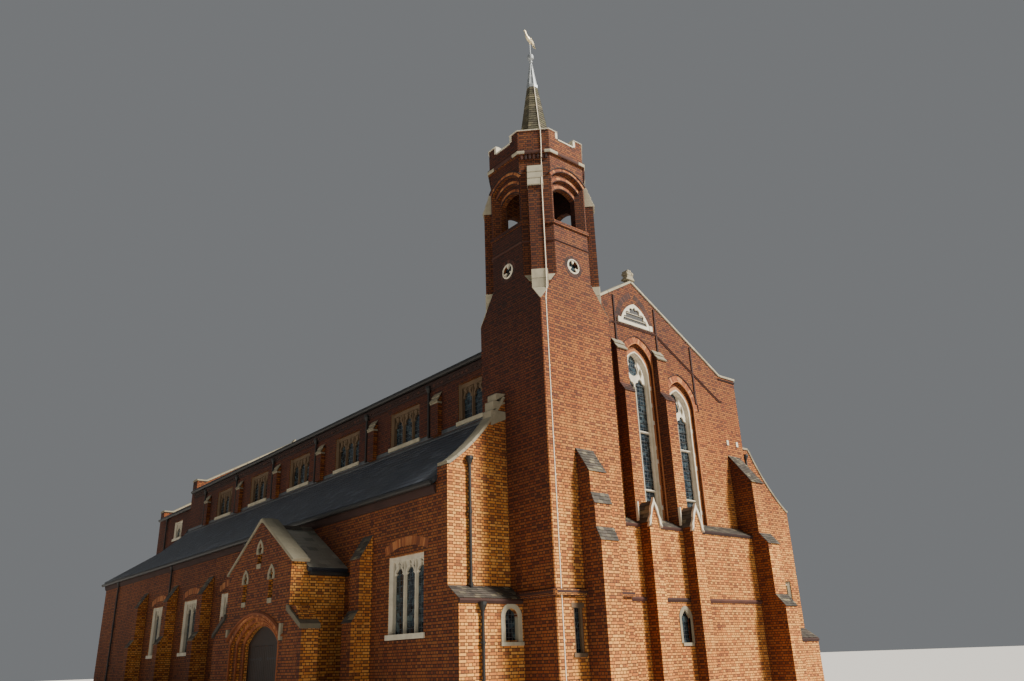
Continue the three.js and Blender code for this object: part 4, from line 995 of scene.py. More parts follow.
class CHURCH_OT_tower_stone(bpy.types.Operator):
    """Build the tower's stone broaches, roundels, strings, dentils and parapet copings"""

    bl_idname = "church.tower_stone"
    bl_label = "Tower stonework"

    def execute(self, context):
        bm, broach, slabs = starts(3)

        def slope(z, w, proud=0.012):
            return (1.93 - 0.466 * (z - 11.0) / 0.95 + proud, w, z)

        # The sloping corner below each diagonal buttress, the buttress's foot and its two shoulders
        hull(broach, [slope(11.0, 0.012), slope(11.0, -0.012), slope(11.42, 0.235), slope(11.42, -0.235),
                      slope(11.42, 0.2, -0.2), slope(11.42, -0.2, -0.2), slope(11.0, 0.0, -0.1)])
        for z in ((11.42, 11.7), (11.706, 12.0)):
            block(broach, (1.2, 1.738), (-0.235, 0.235), z)
        shoulder = ((11.68, 0.24), (11.68, 0.3), (11.94, 0.24), (11.94, 0.45))
        for side in (-1, 1):
            hull(broach, [slope(z, side * w, proud) for z, w in shoulder for proud in (0.012, -0.1)])
        stamp(bm, broach, on_tower(DIAGONALS))
        # Three weathering slabs on the head of each buttress, each lapped over the one below
        for i in range(3):
            low, high, reach = 14.79 + 0.28 * i, 15.09 + 0.28 * i, 1.775 - 0.09 * i
            outline = ((reach, low), (reach, low + 0.03), (reach - 0.11, high), (1.3, high), (1.3, low))
            slab(slabs, (-0.235, 0.235), outline)
        stamp(bm, slabs, on_tower(DIAGONALS))
        # Pale blocks in the string at each corner of the eight-sided stage
        corners = round_tower(TOWER_HALF * CORNER_SHARE)
        pale = [(-0.03, 16.055), (0.078, 16.055), (0.092, 16.1), (0.092, 16.155), (0.03, 16.204),
                (-0.03, 16.204)]
        for i, corner in enumerate(corners):
            path = [corner.lerp(corners[i - 1], 0.16), corner, corner.lerp(corners[(i + 1) % 8], 0.2)]
            moulding(bm, path, pale)
        piece("tower_broach_stones", bm, "coping", bevel=0.008)

        # Each roundel: a moulded stone ring with three tongues, arch bricks round it and a pane in it
        face, level = -TOWER_HALF, 12.36
        roundels, bricks, panes, ring, rowlock, pane = starts(6)
        profile = [(0.0, face - 0.01), (0.01, face - 0.03), (0.05, face - 0.012), (0.05, face + 0.1),
                   (0.0, face + 0.1)]
        arc(ring, profile, (0.0, level), 0.19, 0.0, 2 * math.pi, 32, 0.9)
        for turn in range(3):
            angle = math.pi / 2 + turn * 2 * math.pi / 3
            points = []
            for spread, reach in ((-0.3, 0.195), (0.3, 0.195), (-0.12, 0.13), (0.12, 0.13), (0.0, 0.075)):
                u, v = reach * math.cos(angle + spread), level + reach * math.sin(angle + spread)
                points += [(u, face, v), (u, face + 0.05, v)]
            hull(ring, points, 0.9)
        brick_ring(rowlock, (0.0, level), 0.243, 0.0, 2 * math.pi, 0.11, (face - FLUSH, face + 0.05))
        block(pane, (-0.19, 0.19), (face + 0.09, face + 0.1), around(level, 0.19))
        for mesh, part in ((roundels, ring), (bricks, rowlock), (panes, pane)):
            stamp(mesh, part, on_tower())
        piece("tower_roundels", roundels, "stone")
        piece("tower_roundel_bricks", bricks, "dark_brick")
        piece("tower_roundel_glass", panes, "glass")

        # The lower string runs right round; the ledge below the openings stops at each buttress
        bm, dentils = starts(2)
        profile = [(-0.05, 3.03), (0.0, 3.03), (0.05, 3.055), (0.095, 3.1), (0.095, 3.15), (0.04, 3.2),
                   (0.0, 3.21), (-0.05, 3.21)]
        moulding(bm, round_tower(TOWER_HALF - 0.02), profile, closed=True)
        profile = [(-0.05, 13.02), (0.01, 13.02), (0.035, 13.045), (0.035, 13.06), (0.0, 13.08),
                   (-0.05, 13.08)]
        for i in (1, 3, 5, 7):
            moulding(bm, [corners[i], corners[(i + 1) % 8]], profile)
        for first, last in zip(corners[::2], corners[1::2]):
            moulding(bm, [first, first.lerp(last, 0.27)], profile)
            moulding(bm, [first.lerp(last, 0.73), last], profile)
        for i in range(-3, 4):
            block(dentils, around(0.125 * i, 0.035), (-DIAGONAL_FACE - 0.055, 0.02 - DIAGONAL_FACE),
                  (15.88, 16.05))
        stamp(bm, dentils, on_tower(DIAGONALS))
        profile = [(-0.03, 16.06), (0.075, 16.06), (0.085, 16.1), (0.085, 16.15), (0.03, 16.2), (-0.03, 16.2)]
        moulding(bm, corners, profile, closed=True)
        piece("tower_strings", bm, "dark_brick", bevel=0.005)

        bm, sill = starts(2)
        block(sill, (-0.648, 0.648), (face - 0.012, face + 0.2), (13.7, 13.745), 0.8)
        stamp(bm, sill, on_tower())
        coping = [(-0.28, 16.93), (0.03, 16.93), (0.035, 16.955), (-0.12, 16.99), (-0.28, 16.96)]
        corner = TOWER_HALF + 0.02
        short = corner * CORNER_SHARE
        path = [(0.34, -corner, 0.0), (short, -corner, 0.0), (corner, -short, 0.0), (corner, -0.34, 0.0)]
        # Each side with its corner is drawn anew, so that its end stones get shades of their own
        for turn in QUARTERS:
            part = start()
            moulding(part, path, coping, value=0.7)
            block(part, (-0.338, 0.338), (-corner - 0.03, -corner + 0.24), (16.65, 16.7), 0.6)
            for side in (-1, 1):
                block(part, sorted((side * 0.334, side * 0.43)), (-corner - 0.012, -corner + 0.23),
                      (16.7, 16.935))
            stamp(bm, part, on_tower([turn]))
        piece("tower_parapet_coping", bm, "stone", bevel=0.008)
        return {"FINISHED"}


class CHURCH_OT_belfry(bpy.types.Operator):
    """Build the brick rings and the splayed jambs of the belfry openings"""

    bl_idname = "church.belfry"
    bl_label = "Belfry arches"

    def execute(self, context):
        bricks, bands, splays, rings, hoods_and_shadow_lines, jamb = starts(6)
        for (half, spring, rise, depth), thick in zip(BELFRY_ORDERS, (0.11, 0.105, 0.11)):
            radius, centre, ends = segment(half, rise, spring)
            face = depth - TOWER_HALF
            brick_ring(rings, centre, radius + 0.003, *ends, thick, (face - FLUSH, face + 0.1))
            # Painted shadow: a dark band at the inner edge of each ring stands in for the shadow line of its
            # soffit
            edge = [(-0.004, face - 0.008), (0.022, face - 0.012), (0.022, face + 0.02),
                    (-0.004, face + 0.02)]
            arc(hoods_and_shadow_lines, edge, centre, radius, *ends, 14, 0.2)
            if depth == 0.0:
                hood = [(0.115, face - 0.03), (0.15, face - 0.035), (0.155, face + 0.02),
                        (0.115, face + 0.02)]
                arc(hoods_and_shadow_lines, hood, centre, radius, *ends, 14, 0.1)
        # Splayed brick jambs from the wall's face to the innermost order, as (out, depth, height)
        plan = [(0.651, -0.001, 15.3), (0.4535, 0.209, 15.02), (0.47, 0.24, 15.0), (0.6, 0.24, 15.2),
                (0.66, 0.12, 15.3), (0.66, 0.01, 15.3)]
        for side in (-1, 1):
            hull(jamb, [(side * u, depth - TOWER_HALF, z) for u, depth, high in plan for z in (13.712, high)])
        for mesh, part in ((bricks, rings), (bands, hoods_and_shadow_lines), (splays, jamb)):
            stamp(mesh, part, on_tower())
        piece("belfry_splayed_jambs", splays, "brick")
        piece("belfry_arch_rings", bricks, "arch_brick")
        piece("belfry_hood_and_shadow_bands", bands, "dark_brick")
        return {"FINISHED"}


class CHURCH_OT_spire(bpy.types.Operator):
    """Tile the spire and dress its lead cap"""

    bl_idname = "church.spire"
    bl_label = "Spire"

    def execute(self, context):
        sizes = context.scene.church_sizes
        bm, rolls, side, lap = starts(4)
        turns = [45 * i for i in range(8)]
        foot, top, eighth = 0.665, 0.155, math.pi / 8
        wide, narrow = foot * math.tan(eighth), top * math.tan(eighth)
        slope = [(-wide, -foot, 16.2), (wide, -foot, 16.2), (narrow, -top, SPIRE_TOP),
                 (-narrow, -top, SPIRE_TOP)]
        lay(side, slope, sizes.tile_gauge, sizes.tile_width, 0.016)
        stamp(bm, side, on_tower(turns))
        piece("spire_tiles", bm, "spire_tile")
        # A lead roll up each edge of the cap, and a lap over the head of each side
        for turn in turns:
            angle = math.radians(turn) + eighth
            along = Vector((math.cos(angle), math.sin(angle), 0.0)) / math.cos(eighth)
            ends = []
            for out, z in ((0.168, SPIRE_TOP), (0.038, SPIRE_CAP_TOP)):
                ends.append(Vector((TOWER_X, TOWER_Y, z)) + along * out)
            rod(rolls, *ends, 0.013, 8)
        block(lap, (-0.078, 0.078), (-0.188, -0.155), (SPIRE_TOP - 0.09, SPIRE_TOP + 0.03))
        stamp(rolls, lap, on_tower(turns))
        piece("spire_cap_rolls", rolls, "lead", bevel=0.003)
        return {"FINISHED"}


class CHURCH_OT_vane(bpy.types.Operator):
    """Shape the gilt bird of the weather vane"""

    bl_idname = "church.vane"
    bl_label = "Weather vane"

    def execute(self, context):
        bm, tube = starts(2)
        circle = [(math.cos(math.pi * k / 6), math.sin(math.pi * k / 6)) for k in range(12)]
        # Body, neck and head follow one bent line; each ring is (x, z, half width, half height)
        rings = [(-0.27, 0.472, 0.003, 0.003), (-0.245, 0.482, 0.011, 0.012), (-0.215, 0.5, 0.024, 0.03),
                 (-0.19, 0.488, 0.027, 0.036), (-0.175, 0.435, 0.025, 0.032), (-0.153, 0.365, 0.032, 0.038),
                 (-0.12, 0.29, 0.046, 0.056), (-0.065, 0.228, 0.062, 0.076), (0.0, 0.2, 0.068, 0.09),
                 (0.06, 0.188, 0.06, 0.086), (0.11, 0.16, 0.045, 0.07), (0.15, 0.115, 0.03, 0.054),
                 (0.185, 0.05, 0.014, 0.036)]
        loops = []
        for i, (x, z, wide, high) in enumerate(rings):
            before, after = rings[max(0, i - 1)], rings[min(len(rings) - 1, i + 1)]
            along = Vector((after[0] - before[0], 0.0, after[1] - before[1])).normalized()
            upright = Vector((-along.z, 0.0, along.x)) * high
            ring = [bm.verts.new(Vector((x, wide * cos, z)) + upright * sin) for cos, sin in circle]
            loops.append([bm.edges.new((a, b)) for a, b in zip(ring, ring[1:] + ring[:1])])
            if i in (0, len(rings) - 1):
                bmesh.ops.contextual_create(bm, geom=ring)
        for first, second in zip(loops, loops[1:]):
            bmesh.ops.bridge_loops(bm, edges=first + second)
        # Comb, tail feathers and the two wings laid along the body
        comb = [(-0.235, 0.515), (-0.222, 0.553), (-0.208, 0.535), (-0.19, 0.555), (-0.172, 0.51)]
        prism(bm, comb, -0.004, 0.004)
        for drop, reach in ((0.0, 0.262), (0.045, 0.25), (0.09, 0.225), (0.13, 0.19)):
            outline = [(0.08, 0.2 - drop * 0.4), (0.19, 0.13 - drop), (reach, -0.055 + 0.1 * (0.13 - drop)),
                       (reach - 0.035, -0.04), (0.15, 0.09 - drop), (0.08, 0.15 - drop * 0.4)]
            prism(bm, outline, -0.007, 0.007)
        for side in (-1, 1):
            hull(bm, [(-0.07, side * 0.058, 0.25), (0.02, side * 0.072, 0.262), (0.14, side * 0.035, 0.2),
                      (0.02, side * 0.074, 0.18), (-0.05, side * 0.06, 0.19), (0.0, side * 0.04, 0.22)])
        # The tube that turns on the rod, and the collar and stem over it
        rod(bm, (0, 0, 0.105), (0, 0, 0.16), 0.014, 10, 0.01)
        moulding(tube, [(0, 0, 0.0001), (0, 0, 0.095)], [(0.02 * cos, 0.02 * sin) for cos, sin in circle],
                 (0, 1, 0))
        rod(bm, (0, 0, 0.095), (0, 0, 0.11), 0.022, 12)
        stamp(bm, tube)
        bmesh.ops.translate(bm, vec=(TOWER_X, TOWER_Y, 21.6), verts=bm.verts)
        bird = piece("vane_bird", bm, "gilt", body="vane", smooth=True)
        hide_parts("weather_vane")
        return {"FINISHED"}


class CHURCH_OT_conductor(bpy.types.Operator):
    """Run the lightning conductor down the tower's front corner"""

    bl_idname = "church.conductor"
    bl_label = "Lightning conductor"

    def execute(self, context):
        bm, part = starts(2)
        # Each point is (distance from the tower's axis, offset to the right, height), seen from the corner
        spire = [(0.17, 0.07, 19.75), (0.665, 0.275, 16.3)]
        tower = [(0.69, 0.26, 17.02), (1.21, 0.24, 17.02), (1.53, 0.24, 17.0), (1.5, 0.24, 16.9),
                 (1.5, 0.235, 16.22), (1.575, 0.235, 16.18), (1.575, 0.23, 16.04), (1.476, 0.22, 15.84),
                 (1.476, 0.21, 15.56), (1.795, 0.2, 14.8), (1.736, 0.2, 14.7), (1.736, 0.195, 12.02),
                 (1.75, 0.19, 11.96), (1.75, 0.185, 11.44), (1.812, 0.145, 11.05), (1.812, 0.142, 3.24),
                 (1.88, 0.142, 3.14), (1.88, 0.142, 3.05), (1.812, 0.142, 2.98), (1.812, 0.142, 0.05)]
        for path in (spire, tower):
            for first, last in zip(path, path[1:]):
                rod(part, first, last, 0.014, 8)
        for z in range(1, 12):
            rod(part, (1.80, 0.142, z), (1.806, 0.142, z + 0.04), 0.026, 8)
        stamp(bm, part, on_tower([225]))
        piece("lightning_conductor", bm, "tape")
        return {"FINISHED"}


class CHURCH_OT_gable(bpy.types.Operator):
    """Build the west gable's coping, broken cross, ribs, string and three-sided window"""

    bl_idname = "church.gable"
    bl_label = "West gable"

    def execute(self, context):
        length = context.scene.church_sizes.coping_length
        profile = [(0.0, 0.04), (0.05, 0.045), (0.085, 0.03), (0.12, -0.3), (0.085, -0.63), (0.05, -0.645),
                   (0.0, -0.64)]
        bm = start()
        foot, apex, left = KNEELER_TOP + 0.0005, GABLE_APEX + 0.0005, TOWER_RIGHT + 0.001
        top = (0.0, 0, apex)
        stones(bm, (KNEELER_INSIDE - 0.03, 0, foot), top, profile, WEST_UP, length)
        stones(bm, top, (left, 0, apex + GABLE_SLOPE * left), profile, WEST_UP, length)
        stones(bm, (NAVE_HALF + 0.04, 0, foot), (KNEELER_INSIDE, 0, foot), profile, WEST_UP, 0.5)
        coping = piece("west_coping_stones", bm, "coping", bevel=0.008)
        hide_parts("west_coping")

        # What is left of the cross: its foot, the stump of its shaft and the curl of one arm
        bm = start()
        base = GABLE_APEX + 0.12
        for y, outline, value in (
            ((-0.03, 0.25), ((-0.22, 0.0), (0.22, 0.0), (-0.15, 0.1), (0.15, 0.1)), 0.8),
            ((0.0, 0.22), ((-0.13, 0.08), (0.15, 0.08), (-0.12, 0.2), (0.18, 0.2)), 0.6),
            ((-0.01, 0.23), ((-0.17, 0.19), (0.19, 0.19), (-0.14, 0.32), (-0.02, 0.3), (0.13, 0.33)), 0.5),
        ):
            slab(bm, y, [(x, base + z) for x, z in outline], value)
        for x, z, size in ((-0.07, 0.335, 0.05), (0.02, 0.34, 0.045), (-0.12, 0.24, 0.045),
                           (0.13, 0.26, 0.05)):
            rod(bm, (x, -0.025, base + z), (x, 0.245, base + z), size, 10, value=0.9)
        cross = piece("broken_gable_cross", bm, "dull_stone", bevel=0.01)
        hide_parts("gable_cross_stump")

        # Thin brick ribs and the moulded string that rakes down past them
        bm = start()
        for x, low, high in ((-0.98, 11.3, 13.02), (1.07, 11.3, 12.97), (2.88, 9.72, 11.94)):
            rib = ((0.02, low), (-0.04, low + 0.05), (-0.04, high - 0.05), (0.02, high))
            hull(bm, [(u, y, z) for u in around(x, 0.035) for y, z in rib])
        string = [(-0.03, -0.01), (-0.03, 0.02), (-0.01, 0.03), (0.015, 0.055), (0.03, 0.05), (0.04, -0.01)]
        path = [(4.4, 0, 10.1), (4.2, 0, 10.12), (1.03, 0, 11.95), (-1.17, 0, 11.95), (left, 0, 10.88)]
        moulding(bm, path, string, up=WEST_UP)
        band(bm, (KNEELER_INSIDE - 0.1, 5.35), 0, 10.98, string)
        piece("gable_ribs_and_string", bm, "dark_brick", bevel=0.004)

        # The three-sided window: a curved stone frame with three cusped steps over its foot
        stone, shadow_sheet, bricks = starts(3)
        edge = foils(0.0, [(0.0, 12.03, 0), (0.84, 12.03, 0), (0.84, 12.2, 0), (0.7, 12.2, 0.11),
                           (0.0, 12.86, 0)], 8)
        steps = [(0.0, 12.15, 0), (0.6, 12.15, 0), (0.55, 12.31, 0), (0.44, 12.34, -0.01),
                 (0.46, 12.44, 0.02), (0.35, 12.52, 0), (0.24, 12.5, -0.01), (0.26, 12.6, 0.02),
                 (0.15, 12.67, 0), (0.08, 12.64, 0), (0.0, 12.74, 0)]
        pierced(stone, [edge, foils(0.0, steps, 4)], -0.055, 0.02, 0.95)
        for z, half in ((12.27, 0.55), (12.46, 0.4)):
            block(stone, (-half, half), (-0.04, 0.0), (z, z + 0.02), 0.8)
        for side in (-1, 1):
            block(stone, sorted((side * 0.7, side * 0.86)), (-0.07, 0.02), (12.02, 12.215), 0.9)
        piece("gable_window_stone", stone, "stone", bevel=0.005)
        # Painted shadow: a dark sheet just behind the stone frame fills its openings with the dark of a deep
        # recess
        field = foils(0.0, [(0.0, 12.1, 0), (0.64, 12.1, 0), (0.64, 12.2, 0.09), (0.0, 12.8, 0)])
        pierced(shadow_sheet, [field], -0.007, 0.02)
        piece("gable_window_painted_shadow", shadow_sheet, "iron")
        for turn in (-1, 1):
            ring = start()
            brick_ring(ring, (-0.39, 12.05), 1.125, math.radians(9), math.radians(67), 0.2, (-FLUSH, 0.05))
            stamp(bricks, ring, [Matrix.Diagonal((turn, 1.0, 1.0, 1.0))])
        piece("gable_window_bricks", bricks, "dark_brick")
        return {"FINISHED"}


class CHURCH_OT_west_windows(bpy.types.Operator):
    """Build the tall west windows: arch bricks, hoods, splays, cusps, glass and leading"""

    bl_idname = "church.west_windows"
    bl_label = "West windows"

    def execute(self, context):
        bricks, hoods, panes, cames, bars = starts(5)
        roll = [(-0.008, -0.008), (0.02, -0.012), (0.03, 0.0), (0.03, 0.03), (0.0, 0.03), (-0.01, 0.01)]
        soffit = [(-0.006, 0.115), (0.1, 0.115), (0.1, 0.14), (-0.006, 0.14)]
        hood = [(0.225, -0.005), (0.23, -0.03), (0.255, -0.035), (0.262, -0.01), (0.262, 0.02), (0.225, 0.02)]
        for label, (middle, spring, transoms) in zip(("centre", "right"), LANCETS):
            # Arch bricks, a roll on their edge, the soffit behind it and the hood over them
            order_spring, foot = spring + 0.15, LANCET_FOOT + 0.1
            pointed_bricks(bricks, middle, 0.723, order_spring, 0.933, 0.225, (-FLUSH, 0.1))
            pointed_moulding(bricks, roll, middle, 0.72, order_spring, 0.93, foot)
            pointed_moulding(bricks, soffit, middle, LANCET_HALF, spring, LANCET_RISE + 0.002, foot)
            pointed_moulding(hoods, hood, middle, 0.723, order_spring, 0.933)
            tracery = piece(f"tracery_{label}", self.stonework(middle, spring, transoms), "stone",
                            bevel=0.003)
            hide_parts(f"west_window_{label}")
            levels = [LANCET_FOOT + 0.09, *transoms, spring - 0.02]
            for side in (-1, 1):
                light = middle + side * 0.285
                wide = around(light, 0.255)
                block(panes, around(light, 0.265), (0.3, 0.3 + PANE), (LANCET_FOOT + 0.05, spring - 0.06))
                for low, high in zip(levels, levels[1:]):
                    leading(cames, wide, (low, high), 0.298, 4, round((high - low) / 0.14))
                    count = round((high - low) / 0.42) + 1
                    for i in range(1, count):
                        z = low + (high - low) * i / count
                        rod(bars, (wide[0], 0.285, z), (wide[1], 0.285, z), 0.011, 8)
            block(panes, around(middle, 0.28), (0.3, 0.3 + PANE), (spring - 0.058, spring + 0.73))
            block(panes, around(middle, 0.46), (0.3065, 0.31), (spring - 0.058, spring + 0.35))
            leading(cames, around(middle, 0.26), (spring, spring + 0.7), 0.298, 5, 5)
        piece("west_arch_bricks", bricks, "arch_brick")
        piece("west_hoods", hoods, "dark_brick")
        piece("west_window_panes", panes, "glass")
        piece("west_window_leading", cames, "came")
        piece("west_saddle_bars", bars, "iron")
        return {"FINISHED"}

    def stonework(self, middle, spring, transoms):
        """The splayed lining, sill, mullion, transoms and tracery of one window."""
        bm = start()
        splay = [(-0.001, 0.111), (-0.05, 0.111), (-0.05, 0.2), (-0.065, 0.215), (-0.085, 0.25),
                 (-0.085, 0.34), (-0.001, 0.34)]
        pointed_moulding(bm, splay, middle, LANCET_HALF, spring, LANCET_RISE - 0.001, LANCET_FOOT + 0.001,
                         0.9)
        sill = ((0.11, 0.001), (0.34, 0.001), (0.34, 0.1), (0.11, 0.03))
        hull(bm, [(u, y, LANCET_FOOT + z) for u in around(middle, 0.61) for y, z in sill], 0.6)
        # Bond stones that tooth into the brickwork beside the lining, a long and a short one in turn
        for i, step in enumerate((0.5, 1.15, 2.0, 2.45, 3.3, 3.9, 4.5)):
            low, reach = LANCET_FOOT + step, 0.655 if i % 2 else 0.685
            for side in (-1, 1):
                if low + 0.15 < spring:
                    wide = sorted((middle + side * 0.6, middle + side * reach))
                    block(bm, wide, (0.113, 0.2), (low, low + 0.14), 0.8)
        mullion = ((-0.032, 0.33), (-0.032, 0.25), (-0.012, 0.205), (0.012, 0.205), (0.032, 0.25),
                   (0.032, 0.33))
        prism(bm, [(middle + u, y) for u, y in mullion], LANCET_FOOT + 0.02, spring - 0.42, "xy", 0.9)
        transom = ((0.33, -0.035), (0.25, -0.035), (0.215, -0.01), (0.215, 0.012), (0.25, 0.035),
                   (0.33, 0.035))
        for z in transoms:
            prism(bm, [(y, z + v) for y, v in transom], *around(middle, 0.54), "yz", 0.9)
        # Tracery in two layers: the heads of two cusped lights, an eye over them and a dagger on each side;
        # the front layer's holes are larger, and all heights are measured from the springing
        plate = [(0, -0.42, 0), (0.032, -0.42, 0), (0.032, -0.33, -0.03), (0.1717, -0.234, -0.03),
                 (0.286, -0.09, -0.03), (0.4003, -0.234, -0.03), (0.54, -0.33, 0), (0.54, -0.42, 0),
                 (0.57, -0.42, 0), (0.57, 0, 0.158), (0, 0.768, 0)]
        wide_eye = [(0, -0.03, 0.16), (0.205, 0.38, 0.1), (0, 0.73, 0)]
        wide_dagger = [(0, -0.07, 0), (0.07, 0.1, 0.018), (0, 0.32, 0)]
        eye = [(0, -0.01, 0.13), (0.19, 0.33, 0), (0.14, 0.385, 0), (0.19, 0.43, 0.06), (0, 0.715, 0)]
        dagger = [(0, -0.05, 0), (0.055, 0.1, 0.015), (0, 0.3, 0)]

        def outline(corners, aside=0.0, steps=7):
            return foils(middle + aside, [(u, spring + v, bulge) for u, v, bulge in corners], steps)

        for hole, side_hole, first, last, value in (
            (wide_eye, wide_dagger, 0.24, 0.27, 0.9),
            (eye, dagger, 0.27, 0.325, 0.8),
        ):
            outlines = [outline(plate), outline(hole), outline(side_hole, -0.345, 4),
                        outline(side_hole, 0.345, 4)]
            pierced(bm, outlines, first, last, value)
        return bm


class CHURCH_OT_west_buttresses(bpy.types.Operator):
    """Dress the west buttresses, the plinth between them and its low windows"""

    bl_idname = "church.west_buttresses"
    bl_label = "West buttresses"

    def execute(self, context):
        sizes = context.scene.church_sizes
        caps, weatherings, stone, string, saddles = starts(5)
        for middle in (-0.985, 0.985):
            wide = (middle - 0.25, middle + 0.25)
            sloped(caps, wide, (-0.225, 10.94), (0.0, 11.35), 0.25, 2.0, 0.045)
            tiled(string, sizes, wide, (-0.42, 9.45), (-0.2, 9.78), 0.014)
            for side in (-1, 1):
                # Dark slates on both slopes of the low saddle roof
                foot = (middle + side * 0.26, 5.25)
                roof_side(saddles, side, (-0.86, -0.415), foot, (middle, 5.885), 0.14, 0.5, 0.035)
                # The ogee verge of the gablet in front of them, and the pale quoin behind its foot
                verge = start()
                curve = [(0.3, 5.1, 0.0), (0.31, 5.24, -0.02), (0.17, 5.5, 0.03), (0.05, 5.84, 0.0),
                         (0.0, 5.99, 0.0)]
                inner = [(0.0, 5.8), (0.09, 5.6), (0.17, 5.36), (0.2, 5.22), (0.2, 5.1)]
                outer = [point for point in foils(0.0, curve) if point[0] >= -0.0001]
                prism(verge, outer + inner, -0.93, -0.84, "xz", 0.9)
                at = Matrix.Translation((middle, 0, 0)) @ Matrix.Diagonal((side, 1.0, 1.0, 1.0))
                stamp(stone, verge, [at])
                strip = sorted((middle + side * 0.2, middle + side * 0.245))
                block(stone, strip, (-0.5, -0.41), (5.2, 5.9), 0.8)
        # Weatherings of the corner buttress and the tower's buttress, then the ledges on top of the plinth
        corner, front = (4.38, 5.07), (-4.79, -4.13)
        slopes = [
            (corner, (-0.83, 7.03), (0.0, 8.12)),
            (corner, (-1.13, 4.93), (-0.8, 5.32)),
            (corner, (-1.43, 2.93), (-1.1, 3.32)),
            (front, (-2.055, 6.13), (-1.6, 6.83)),
            (front, (-2.165, 5.28), (-2.05, 5.58)),
            (front, (-2.315, 4.33), (-2.16, 4.68)),
        ]
        ledges = ((TOWER_RIGHT + 0.01, -1.25), (-0.72, 0.72), (1.25, 4.39))
        ledge_edge = [(-0.06, -0.01), (-0.06, 0.02), (0.0, 0.05), (0.03, 0.05), (0.03, -0.01)]
        for wide, low, high in slopes + [(ledge, (-0.51, 5.23), (-0.005, 5.53)) for ledge in ledges]:
            tiled(weatherings, sizes, wide, low, high)
        for wide in ((TOWER_RIGHT + 0.01, -1.246), (-0.724, 0.724), (1.246, 4.39)):
            band(string, wide, -0.5, 5.2, ledge_edge)
            band(string, wide, -0.5, 3.11, LEDGE_STRING)
        for x in (4.45, 5.0):
            block(stone, (x - 0.055, x + 0.055), (-0.03, 0.02), (8.5, 8.68))
        piece("west_buttress_caps", caps, "dull_stone", bevel=0.006)
        piece("buttress_weatherings", weatherings, "brown_tile")
        piece("west_buttress_gablets", stone, "stone", bevel=0.006)
        piece("west_saddle_slates", saddles, "brown_tile")
        piece("west_strings", string, "dark_brick")
        # The low pointed window in the plinth
        stone, brown, glass, lead, low_frame, small_frame = starts(6)
        surround = [(0.0, -0.01), (0.1, -0.02), (0.1, 0.06), (0.0, 0.06)]
        pointed_moulding(low_frame, surround, 0.45, 0.2, 2.6, 0.24, foot=1.9)
        for side in (-1, 1):
            corners = arch_outline(0.2, 2.6, 0.24) + [(0.0, 2.86), (0.2, 2.86)]
            prism(low_frame, [(0.45 + side * u, v) for u, v in corners], 0.0, 0.06, "xz", 0.4)
        block(low_frame, (0.2, 0.7), (-0.04, 0.08), (1.82, 1.91), 0.5)
        plinth = Matrix.Translation((0, -0.5, 0))
        stamp(stone, low_frame, [plinth])
        glaze(glass, lead, plinth, (0.25, 0.65), (1.9, 2.85), 0.1, 4, 8)
        # The tower's small square-headed window
        tower = Matrix.Translation((-5.05, -1.6, 0))
        block(small_frame, (-0.22, 0.22), (-0.03, 0.1), (1.61, 1.71), 0.5)
        block(small_frame, (-0.22, 0.22), (-0.01, 0.1), (2.75, 2.87), 0.6)
        for side in (-1, 1):
            block(small_frame, sorted((side * 0.1, side * 0.17)), (0.02, 0.12), (1.7, 2.76), 0.7)
        stamp(brown, small_frame, [tower])
        glaze(glass, lead, tower, (-0.16, 0.16), (1.7, 2.8), 0.1, 3, 9, (-0.1, 0.1), (1.7, 2.76))
        piece("tower_window_stone", brown, "brown_stone", bevel=0.005)
        piece("low_window_stone", stone, "dull_stone", bevel=0.005)
        piece("low_window_glass", glass, "glass")
        piece("low_window_leading", lead, "came")
        return {"FINISHED"}


